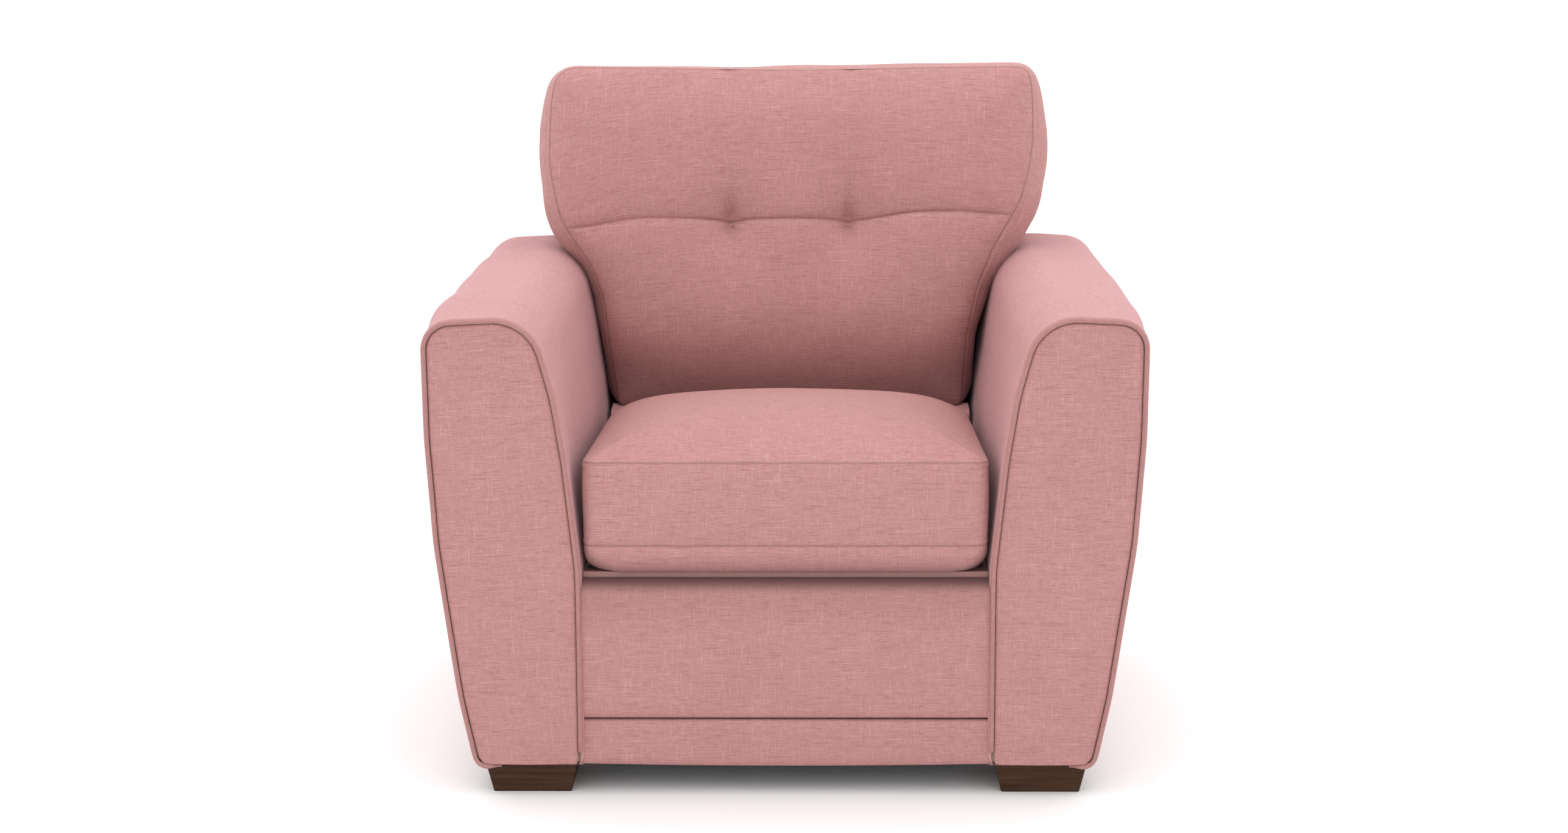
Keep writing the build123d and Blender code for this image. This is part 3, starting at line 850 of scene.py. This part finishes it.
def front_band():
    """Lower band: hangs from the seam to the bottom edge and turns under."""
    profile = [
        (0.014, SEAM_Z - 0.0010, 0),
        (0.0014, SEAM_Z - 0.0008, 0.0015),
        (-0.0012, SEAM_Z - 0.008, 0.012),
        (-0.0012, BASE_Z + 0.012, 0.020),
        (0.0010, BASE_Z - 0.0010, 0.006),
        (0.0160, BASE_Z - 0.0005, 0),
    ]
    return seat_wide("front_border_band", profile, 32, 0.0008, 0.0030)


def seat_wide(name, profile, seed, depth, sag, start=BORDER_FRONT):
    """A panel of one profile, (y from its start, z, radius), right across the seat."""
    line = rounded(profile, False, 0.0035)
    along = run_length(line)
    x = np.linspace(-HALF_SEAT, HALF_SEAT, 141)
    ripple = waves(seed, 7, 0.09, 0.35)
    share = (line[:, 1] - line[:, 1].min()) / np.ptp(line[:, 1])
    face = smooth_step(0, 0.15, share) * smooth_step(0, 0.1, 1 - share)
    side = smooth_step(0, 0.03, HALF_SEAT - np.abs(x))
    rows = []
    for (y, z), f, low in zip(line, face, 1 - share):
        out = depth * f * (ripple(x, z) + 0.8) * side
        drop = sag * low * (1 - (x / HALF_SEAT) ** 2)
        rows.append(stack(x, start + y - out, z - drop))
    cloth = stack(x, along[:, None])
    sheets = Sheets()
    sheets.grid(np.array(rows), cloth)
    piece = sheets.piece(name)
    subdivide(piece)
    # Painted shade: the seam's line is darkened, and so are the creases under the seat cushion,
    # where the cushion's shadow falls on the border's top. It goes by height alone, so it also
    # darkens the foot of the tuck-in panel, and it shows on both when the cushion is out.
    height = points_of(piece)[:, 2]
    crease_shade = 2.05 * smooth_step(0.284, 0.306, height) + 0.42 * smooth_step(0.225, 0.285, height)
    crease_shade = crease_shade * (height < DECK_TOP)
    paint_shade(piece, np.exp(-(((height - SEAM_Z) / 0.0016) ** 2)) + crease_shade)
    return piece


finish_piece(front_border(), ROOT, LINEN, "linen", "front_border")
finish_piece(front_band(), ROOT, LINEN, "linen", "front_band")


def tuck_in():
    """Closes the back behind the seat cushion, then folds away under the back cushion."""
    profile = [(0, 0.2935, 0), (0, 0.4290, 0.010), (0.050, 0.4330, 0)]
    return seat_wide("tuck_in_panel", profile, 33, 0.0010, 0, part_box("tuck_in")[0].y)


finish_piece(tuck_in(), ROOT, LINEN_PAINTED_SHEEN, "linen", "tuck_in")


# ---- back ---------------------------------------------------------------------------------------
BACK_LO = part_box("back_cushion_cover")[0]
PANEL_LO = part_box("outer_back")[0]
LEAN = math.tan(math.radians(11.0))   # of the inside back, from upright

# The front panel's seam. The sewn back isn't quite symmetric, so each half has its own points,
# up from the bottom, and its border stands out past the seam by its own amounts (z, width).
BACK_SEAM_LEFT = [
    (-0.269, 0.432, 0.012),
    (-0.2790, 0.505, 0.15),
    (-0.2905, 0.600, 0.10),
    (-0.3070, 0.648, 0.12),
    (-0.3570, 0.720, 0.12),
    (-0.3765, 0.800, 0.25),
    (-0.3735, 0.895, 0.30),
    (-0.3645, 0.9570, 0.052),
]
BACK_SEAM_RIGHT = [
    (0.268, 0.432, 0.012),
    (0.2750, 0.546, 0.15),
    (0.2910, 0.618, 0.10),
    (0.3160, 0.678, 0.12),
    (0.3590, 0.750, 0.12),
    (0.3780, 0.820, 0.25),
    (0.3790, 0.900, 0.30),
    (0.3735, 0.9565, 0.020),
]
BORDER_LEFT = [
    (0.435, 0.008), (0.455, 0.018), (0.55, 0.018), (0.62, 0.019), (0.66, 0.022), (0.70, 0.030),
    (0.74, 0.027), (0.78, 0.021), (0.86, 0.021), (0.92, 0.013), (0.94, 0.008), (0.958, 0.002),
]
BORDER_RIGHT = [
    (0.435, 0.008), (0.455, 0.018), (0.55, 0.019), (0.62, 0.025), (0.66, 0.033), (0.70, 0.040),
    (0.74, 0.038), (0.78, 0.032), (0.86, 0.027), (0.92, 0.018), (0.94, 0.013), (0.960, 0.004),
]
TUFTS = [(-0.0935, 0.7165), (0.0905, 0.7170)]
SEAM_ENDS = (0.7110, 0.7310)   # heights where the crosswise seam meets the left and right
TOP_SAG = 0.0050
BOX_DEEP = 0.096         # the boxing's depth before it is fitted to the frame
CUSHION_FRONT = BACK_LO.y
CUSHION_DEEP = 0.107     # from the front panel's plane back to the frame, level
PANEL_SET = 0.019        # the seam lies this far behind the panel's crown


def front_y(z):
    """Depth of the back cushion's front plane at a height."""
    return CUSHION_FRONT + (z - BACK_LO.z) * LEAN + 0.030 * smooth_step(0.585, 0.440, z)


def seam_height(x):
    """Height of the crosswise seam: it scallops between the tufts and falls at its ends."""
    dips = sum(0.0108 * np.exp(-np.abs(x - tx) / 0.030) for tx, _ in TUFTS)
    left = 0.0165 * smooth_step(0.22, 0.345, -x)
    right = 0.0060 * smooth_step(0.25, 0.342, x) - 0.0095 * smooth_step(0.11, 0.21, x)
    return 0.7278 - dips - left - right


def back_relief(x, z, gap):
    """How far the front panel stands proud of its seam's plane before it is inflated."""
    crown = 0.016 * (1 - np.exp(-gap / 0.016)) + 0.013 * (1 - np.exp(-gap / 0.085))
    off = z - seam_height(x)
    crown = crown * (1 - 0.30 * smooth_step(0.56, 0.45, z))
    groove = 0.0040 * np.exp(-np.abs(off) / 0.0025) + 0.0050 * np.exp(-np.abs(off) / 0.020)
    rise = crown - groove * smooth_step(0.0, 0.03, gap)
    for tx, tz in TUFTS:
        r = np.hypot(x - tx, (z - tz) * 0.9)
        rise = rise - 0.019 * np.exp(-r / 0.012) - 0.014 * np.exp(-((r / 0.055) ** 2))
        up, down = np.clip(z - tz, 0, None), np.clip(tz - z, 0, None)
        fold = 0.0125 * np.exp(-up / 0.070) * smooth_step(0.0, 0.012, up)
        rise = rise - fold * bump(x, tx + 0.04 * up, 0.008 + 0.07 * up)
        fold = 0.0070 * np.exp(-down / 0.050) * smooth_step(0.0, 0.012, down)
        rise = rise - fold * bump(x, tx, 0.007 + 0.10 * down)
        notch = 0.0022 * smooth_step(0.02, 0.0, gap) * smooth_step(0.15, 0.2, up)
        rise = rise - notch * bump(x, tx * 1.06, 0.010)
    return rise


def back_sides():
    """The front panel's outline as its bottom, left, right and top edges, and the cross seam."""
    corners = BACK_SEAM_RIGHT + BACK_SEAM_LEFT[::-1]
    line = anticlockwise(rounded(corners, True, 0.003))
    line[:, 1] -= TOP_SAG * smooth_step(0.93, 0.95, line[:, 1]) * bump(line[:, 0], 0, 0.22)
    bottom, right, top, left = four_edges(line, 1.6)
    cut_left = int(np.argmin(np.abs(left[:, 1] - SEAM_ENDS[0])))
    cut_right = int(np.argmin(np.abs(right[:, 1] - SEAM_ENDS[1])))
    x = np.linspace(left[cut_left, 0], right[cut_right, 0], 400)
    seam = stack(x, seam_height(x))
    seam[:, 1] += np.interp(x, [x[0], x[0] + 0.03], [left[cut_left, 1] - seam[0, 1], 0])
    seam[:, 1] += np.interp(x, [x[-1] - 0.03, x[-1]], [0, right[cut_right, 1] - seam[-1, 1]])
    lower = (bottom, right[: cut_right + 1], seam, left[: cut_left + 1])
    upper = (seam, right[cut_right:], top, left[cut_left:])
    return lower, upper


def cloth_on_back(x, z):
    """The weave's place on the back panel: the weft drops towards the sides."""
    pull = np.where(x < 0, 0.65, 0.30)
    return stack(x, z + pull * np.abs(x) ** 3)


def border_width(ring):
    """How far the boxing stands out past the front panel's seam, at each point of it."""
    z = ring[:, 1]
    left = np.interp(z, *zip(*BORDER_LEFT))
    right = np.interp(z, *zip(*BORDER_RIGHT))
    return left + (right - left) * smooth_step(-0.15, 0.15, ring[:, 0])


def back_cushion():
    """Two front panels that meet on the tufted seam, with the boxing round them."""
    lower, upper = back_sides()
    width = lower[2][-1, 0] - lower[2][0, 0]
    s = shares(width, 0.0070, dense=[tx - lower[2][0, 0] for tx, _ in TUFTS])
    grids = [
        coons(*lower, s, shares(0.25, 0.0070)),
        coons(*upper, s, shares(0.235, 0.0070)),
    ]
    outline = rim(np.vstack([grids[0], grids[1][1:]]))
    sheets = Sheets()
    ripple = waves(41, 8, 0.07, 0.28)
    for grid in grids:
        x, z = grid[..., 0], grid[..., 1]
        gap = nearest(grid, outline)
        rise = back_relief(x, z, gap) + 0.0008 * ripple(x, z) * smooth_step(0.01, 0.06, gap)
        y = front_y(z) + PANEL_SET - rise
        sheets.grid(stack(x, y, z), cloth_on_back(x, z))
    side_rows(sheets, outline)
    piece = sheets.piece("back_cushion")
    co = points_of(piece)
    seams = back_seam_lines(grids, outline)
    held = close_to(co, seams, 0.004)
    behind = smooth_step(0.030, 0.075, co[:, 1] - front_y(co[:, 2]) - PANEL_SET)
    for tx, tz in TUFTS:
        off = np.hypot(co[:, 0] - tx, 0.6 * (co[:, 2] - tz))
        held = np.maximum(held, np.exp(-((off / 0.020) ** 2)))
    inflate(piece, np.maximum(held, behind), 0.010)
    subdivide(piece)
    co = points_of(piece)
    # Painted shade along the seams, and darker towards the bottom where the seat cushion shades the
    # back.
    crease_shade = 1.05 * smooth_step(0.565, 0.462, co[:, 2])
    paint_shade(piece, close_to(co, seams, 0.0017) + crease_shade)
    return piece, outline


def back_seam_lines(grids, outline):
    """The seams of the back cushion as 3-D lines: round the panel, and across it."""

    def lifted(line, gap):
        y = front_y(line[:, 1]) + PANEL_SET - back_relief(line[:, 0], line[:, 1], gap)
        return stack(line[:, 0], y, line[:, 1])

    loop = looped(outline)
    cross = grids[1][0]
    return [lifted(loop, np.zeros(len(loop))), lifted(cross, nearest(cross, outline))]


def side_rows(sheets, outline):
    """The boxing round the cushion: a flat welt beside the seam, a bulge, and back to the frame."""
    z = outline[:, 1]
    wide = border_width(outline)
    along = around(outline)
    ripple = waves(43, 7, 0.08, 0.3)
    top = smooth_step(0.92, 0.95, z)
    rows, places = [], []
    stops = [0, 0.0012, 0.003, 0.006, 0.0085, 0.010, 0.012, *np.linspace(0.016, BOX_DEEP, 20)]
    turned = [(depth, 0.0) for depth in stops] + [(0.0985, 0.0035), (0.0990, 0.012)]
    for depth, inset in turned:
        share = min(1.0, depth / BOX_DEEP)
        swell = math.sin(min(1.0, share / 0.58) * math.pi / 2) ** 0.9
        swell -= 0.22 * smooth_step(0.6, 1.0, share)
        welt = 0.0012 * math.exp(-(((depth - 0.0045) / 0.003) ** 2))
        welt -= 0.0012 * math.exp(-(((depth - 0.010) / 0.0016) ** 2))
        out = wide * swell + welt * (1 - 0.6 * top) + 0.0012 * ripple(along, depth) * swell
        moved = grown(outline, out - inset)
        drop = 0.006 * top * share
        y = front_y(z) + PANEL_SET + depth * (CUSHION_DEEP - PANEL_SET) / BOX_DEEP
        rows.append(stack(moved[:, 0], y, moved[:, 1] - drop))
        places.append(stack(along, 2.0 + depth))
    sheets.grid(np.array(rows), np.array(places), flip=True, closed=True)


def back_frame_sleeve(outline):
    """Cloth round the back's frame, behind the cushion, a little smaller than the cushion."""
    z = outline[:, 1]
    ring = grown(outline, border_width(outline) * 0.78 - 0.0045)
    top = smooth_step(0.92, 0.95, z)
    along = around(outline)
    start = front_y(z) + CUSHION_DEEP - 0.006
    end = PANEL_LO.y + 0.0045 + REAR_SLOPE * (z - PANEL_LO.z)
    ripple = waves(44, 7, 0.10, 0.3)
    rows, places = [], []
    steps = [(0.0, 0.003), (0.01, 0.0005)]
    for share in [*np.linspace(0.05, 0.94, 24), 0.97, 0.99, 1.0]:
        steps.append((share, 0.006 * smooth_step(0.93, 1.0, share)))
    steps += [(1.0, 0.014), (0.985, 0.022)]
    for share, inset in steps:
        lift = 0.0010 * ripple(along, share * 0.15) * smooth_step(0, 0.2, share)
        lift = lift * smooth_step(0, 0.2, 1 - share)
        moved = grown(ring, lift - inset)
        drop = 0.005 * top + 0.003 * top * share
        y = start + (end - start) * share
        rows.append(stack(moved[:, 0], y, moved[:, 1] - drop))
        places.append(stack(along, 3.0 + start + (end - start) * share))
    sheets = Sheets()
    sheets.grid(np.array(rows), np.array(places), flip=True, closed=True)
    piece = sheets.piece("back_frame_sleeve")
    subdivide(piece)
    return piece


back, BACK_OUTLINE = back_cushion()
finish_piece(back, ROOT, LINEN, "linen", "back_cushion_cover", "back_cushion_fill")
frame_sleeve = back_frame_sleeve(BACK_OUTLINE)
finish_piece(frame_sleeve, ROOT, LINEN_PAINTED_SHEEN, "linen", "back_frame_cover")


# ---- outside back -------------------------------------------------------------------------------
def panel_y(z):
    """Depth of the outside back's plane at a height."""
    return PANEL_LO.y + 0.0040 + REAR_SLOPE * (z - PANEL_LO.z)


RIM_SET = 0.003          # the panels' rims lie this far inside their plane
LOWER_BACK = [
    (0.4190, 0.0460, 0.010), (0.4380, 0.140, 0.500), (0.4690, 0.355, 0.500),
    (0.4790, 0.500, 0.500), (0.4800, 0.6440, 0.030), (0.3700, 0.6535, 0.010),
]
UPPER_BACK = [
    (0.3660, 0.6520, 0.004), (0.3640, 0.7000, 0.060), (0.3840, 0.802, 0.200),
    (0.3760, 0.912, 0.050), (0.3520, 0.9360, 0.026),
]


def outside_back():
    """Two panels that meet on a crosswise seam at the height of the arms."""
    sheets = Sheets()
    seams = []
    ripple = waves(61, 8, 0.12, 0.5)
    for half, rows in ((LOWER_BACK, 0.60), (UPPER_BACK, 0.28)):
        corners = half + [(-x, z, r) for x, z, r in half[::-1]]
        line = anticlockwise(rounded(corners, True, 0.004))
        edges = four_edges(line, 1.3)
        grid = coons(*edges, shares(0.85, 0.012), shares(rows, 0.012))
        x, z = grid[..., 0], grid[..., 1]
        gap = nearest(grid, rim(grid))
        rise = 0.0060 * (1 - np.exp(-gap / 0.005)) + 0.0020 * (1 - np.exp(-gap / 0.08))
        rise = rise + 0.0010 * ripple(x, z) * smooth_step(0.01, 0.08, gap)
        y = panel_y(z) + rise - RIM_SET
        sheets.grid(stack(x, y, z), stack(x, z), flip=True)
        loop = looped(rim(grid))
        seams.append(stack(loop[:, 0], panel_y(loop[:, 1]) - RIM_SET, loop[:, 1]))
    piece = sheets.piece("outside_back_panels")
    subdivide(piece)
    # Painted shade along the seams round both panels.
    paint_shade(piece, close_to(points_of(piece), seams, 0.0020))
    return piece


finish_piece(outside_back(), ROOT, LINEN, "linen", "outer_back")


# ---- seat cushion -------------------------------------------------------------------------------
SEAT_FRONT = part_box("seat_cushion_cover")[0].y
PITCH = math.radians(2.5)   # the deck falls towards the back
DECK_FRONT = Vector((0, SEAT_FRONT, 0.3130))
SEAT_DEEP, SEAT_HALF = 0.5570, 0.2755
LOW_SEAM, TOP_SEAM = 0.0400, 0.1540
REAR_TAPER, REAR_CORNER = 0.008, 0.115
UNDER_DEEP, UNDER_IN = 0.0415, 0.023   # the underside's quarter turn, down and inwards
UNDER_TURN = 0.045                     # how much cloth the turn takes


def on_deck(x, v, w):
    """A place given across, along the deck from its front edge, and above it."""
    y = DECK_FRONT.y + v * math.cos(PITCH) + w * math.sin(PITCH)
    z = DECK_FRONT.z - v * math.sin(PITCH) + w * math.cos(PITCH)
    return stack(x, y, z)


def above_deck(co):
    """Height of points over the deck's plane."""
    return co[:, 2] - DECK_FRONT.z + (co[:, 1] - DECK_FRONT.y) * math.sin(PITCH)


def seat_crown(x, v, gap):
    """Height of the top panel over its seam: steep beside it, then a broad dome."""
    half = SEAT_HALF - REAR_TAPER * v / SEAT_DEEP
    dome = 0.038
    for distance in (half - np.abs(x), v, SEAT_DEEP - v):
        dome = dome * (1 - np.exp(-np.clip(distance, 0, None) / 0.080))
    return (0.016 * (1 - np.exp(-gap / 0.020)) + dome) * (1 - 0.30 * smooth_step(0.34, 0.54, v))


def tucked_under(grid, ring):
    """The underside: down from the seam in a quarter turn, then flat on the deck."""
    spot, gap = closest(grid, ring)
    turn = np.clip(gap / UNDER_TURN, 0, 1) * math.pi / 2
    new_gap = UNDER_IN * (1 - np.cos(turn)) - 0.0030 * np.sin(2 * turn)
    new_gap = new_gap + np.clip(gap - UNDER_TURN, 0, None)
    share = smooth_step(UNDER_TURN, 0.12, gap)
    new_gap = new_gap * (1 - share) + gap * share
    inward = (grid - spot) / np.maximum(gap, 1e-9)[..., None]
    moved = spot + inward * new_gap[..., None]
    return on_deck(moved[..., 0], moved[..., 1], LOW_SEAM - UNDER_DEEP * np.sin(turn))


def seat_cushion():
    """Boxed cushion: a crowned top, boxing between two plain seams, and a rounder underside."""
    rear = SEAT_HALF - REAR_TAPER
    corners = [(-SEAT_HALF, 0, 0.020), (SEAT_HALF, 0, 0.020)]
    corners += [(rear, SEAT_DEEP, REAR_CORNER), (-rear, SEAT_DEEP, REAR_CORNER)]
    edges = four_edges(anticlockwise(rounded(corners, True, 0.003)))
    grid = coons(*edges, shares(2 * SEAT_HALF, 0.0080), shares(SEAT_DEEP, 0.0080))
    ring = rim(grid)
    x, v = grid[..., 0], grid[..., 1]
    gap = nearest(grid, ring)
    ripple = waves(51, 9, 0.09, 0.35)
    crown = seat_crown(x, v, gap) + 0.0010 * ripple(x, v) * smooth_step(0.01, 0.08, gap)
    sheets = Sheets()
    sheets.grid(on_deck(x, v, TOP_SEAM + crown), stack(x, v))
    sheets.grid(tucked_under(grid, ring), stack(x, v + 1.0), flip=True)
    along = around(ring)
    tall = TOP_SEAM - LOW_SEAM
    side_flat = 1 - 0.80 * smooth_step(SEAT_HALF - 0.02, SEAT_HALF - 0.001, np.abs(ring[:, 0]))
    rear_flat = smooth_step(SEAT_DEEP - 0.001, SEAT_DEEP - 0.012, ring[:, 1])
    rows, places = [], []
    for w in shares(tall, 0.0055, (0.0018, 0.0045, 0.0070, 0.0085, 0.0105)) * tall:
        s = w / tall
        swell = 0.0060 * math.sin(math.pi * s) ** 0.7
        from_seam = min(w, tall - w)
        ledge = 0.0009 * math.exp(-(((from_seam - 0.0045) / 0.0035) ** 2))
        ledge -= 0.0008 * math.exp(-(((from_seam - 0.0088) / 0.0012) ** 2))
        out = swell * side_flat + ledge + 0.0008 * ripple(along, w + 0.7) * math.sin(math.pi * s)
        moved = grown(ring, out * rear_flat)
        rows.append(on_deck(*moved.T, LOW_SEAM + w))
        places.append(stack(along, 2.0 + w))
    sheets.grid(np.array(rows), np.array(places), closed=True)
    piece = sheets.piece("seat_cushion_case")
    seams = [on_deck(*looped(ring).T, w) for w in (LOW_SEAM, TOP_SEAM)]
    co = points_of(piece)
    depth = (co[:, 1] - DECK_FRONT.y) * math.cos(PITCH)
    above = above_deck(co)
    boxing = (above > LOW_SEAM + 0.002) & (above < TOP_SEAM - 0.002)
    beside = np.maximum(np.abs(co[:, 0]) > SEAT_HALF - 0.004, depth > SEAT_DEEP - 0.01) & boxing
    held = np.maximum(close_to(co, seams, 0.004), np.where(beside, 0.97, 0))
    held = np.maximum(held, np.where(above < 0.006, 1.0, 0))
    inflate(piece, held, 0.008)
    subdivide(piece)
    co = points_of(piece)
    # Painted shade along both seams, and darker down the underside where the cushion shades itself
    # over the deck.
    crease_shade = 0.75 * smooth_step(LOW_SEAM - 0.004, 0.004, above_deck(co))
    paint_shade(piece, close_to(co, seams, 0.0017) + crease_shade)
    return piece


seat = finish_piece(
    seat_cushion(), CUSHION, LINEN, "linen", "seat_cushion_cover", "seat_cushion_foam"
)


# ---- carried-over CAD nodes ---------------------------------------------------------------------
SLOT_MATERIAL = {
    "frame_wood": board_material("frame_board", (0.62, 0.45, 0.27), (0.50, 0.34, 0.19)),
    "foam": foam_material("cushion_foam", (0.84, 0.80, 0.62), (0.74, 0.69, 0.50)),
    "pad_felt": foam_material("pad_felt", (0.52, 0.50, 0.47), (0.36, 0.35, 0.33), 500.0),
    "steel": metal_material("plated_steel", (0.55, 0.55, 0.56), 0.35),
    "zip_metal": metal_material("zip_metal", (0.60, 0.57, 0.53), 0.30),
    "twine": thread_material("waxed_twine", (0.50, 0.30, 0.27)),
    "foot_wood": foot_material(),
    "linen": LINEN,
    "linen_piping": LINEN_PIPING,
}
for slot, name, light, dark, scale in (
    ("deck_cloth", "deck_lining", (0.43, 0.24, 0.22), (0.34, 0.18, 0.165), 700.0),
    ("base_cloth", "dust_cover", (0.030, 0.030, 0.033), (0.014, 0.014, 0.016), 500.0),
    ("webbing", "elastic_web", (0.50, 0.44, 0.35), (0.30, 0.25, 0.19), 300.0),
    ("zip_tape", "zip_tape_cloth", (0.45, 0.26, 0.24), (0.36, 0.19, 0.18), 900.0),
):
    SLOT_MATERIAL[slot] = plain_cloth_material(name, light, dark, scale)
for part in frame["record"]["subparts"]:
    node = frame["nodes"][part["node"]]
    node.data.materials.clear()
    node.data.materials.append(SLOT_MATERIAL[part["material_slot"]])


# ---- floor, light and camera --------------------------------------------------------------------
def floor():
    corners = [(-40.0, -40.0, 0), (40.0, -40.0, 0), (40.0, 40.0, 0), (-40.0, 40.0, 0)]
    piece = mesh_piece("floor", corners, [(0, 1, 2, 3)])
    m = Nodes("pale_floor")
    m.set(Base_Color=(0.86, 0.86, 0.86, 1), Roughness=0.9, Specular_IOR_Level=0.1)
    piece.data.materials.append(m.material)


def lights():
    """A white surround, and one large soft light overhead."""
    scene = bpy.context.scene
    scene.world = bpy.data.worlds.new("studio")
    scene.world.use_nodes = True
    background = scene.world.node_tree.nodes["Background"]
    background.inputs["Color"].default_value = (1.0, 1.0, 1.0, 1)
    background.inputs["Strength"].default_value = 1.5
    data = bpy.data.lights.new("overhead", "AREA")
    data.shape, data.size, data.size_y, data.energy = "RECTANGLE", 3.2, 2.6, 24
    lamp = bpy.data.objects.new("overhead", data)
    place, target = Vector((0.0, 0.5, 3.2)), Vector((0, 0.1, 0.4))
    lamp.location = place
    lamp.rotation_euler = (target - place).to_track_quat("-Z", "Y").to_euler()
    scene.collection.objects.link(lamp)


def camera():
    """The photograph's viewpoint, fitted to the chair's own symmetry."""
    data = bpy.data.cameras.new("camera")
    data.sensor_fit, data.sensor_width, data.lens = "HORIZONTAL", 36.0, 60.43
    data.clip_start, data.clip_end = 0.05, 200
    made = bpy.data.objects.new("camera", data)
    yaw, pitch, roll = -0.0150256, 0.193466, -0.003597
    ahead = Vector(
        (math.sin(yaw) * math.cos(pitch), math.cos(yaw) * math.cos(pitch), -math.sin(pitch))
    )
    right = Vector((math.cos(yaw), -math.sin(yaw), 0))
    up = right.cross(ahead)
    turned = right * math.cos(roll) + up * math.sin(roll)
    up = -right * math.sin(roll) + up * math.cos(roll)
    rotation = Matrix((turned, up, -ahead)).transposed()
    made.matrix_world = Matrix.Translation((0.05119, -3.90998, 1.21123)) @ rotation.to_4x4()
    bpy.context.scene.collection.objects.link(made)
    bpy.context.scene.camera = made


floor()
lights()
camera()
bpy.context.scene.view_settings.view_transform = "Standard"
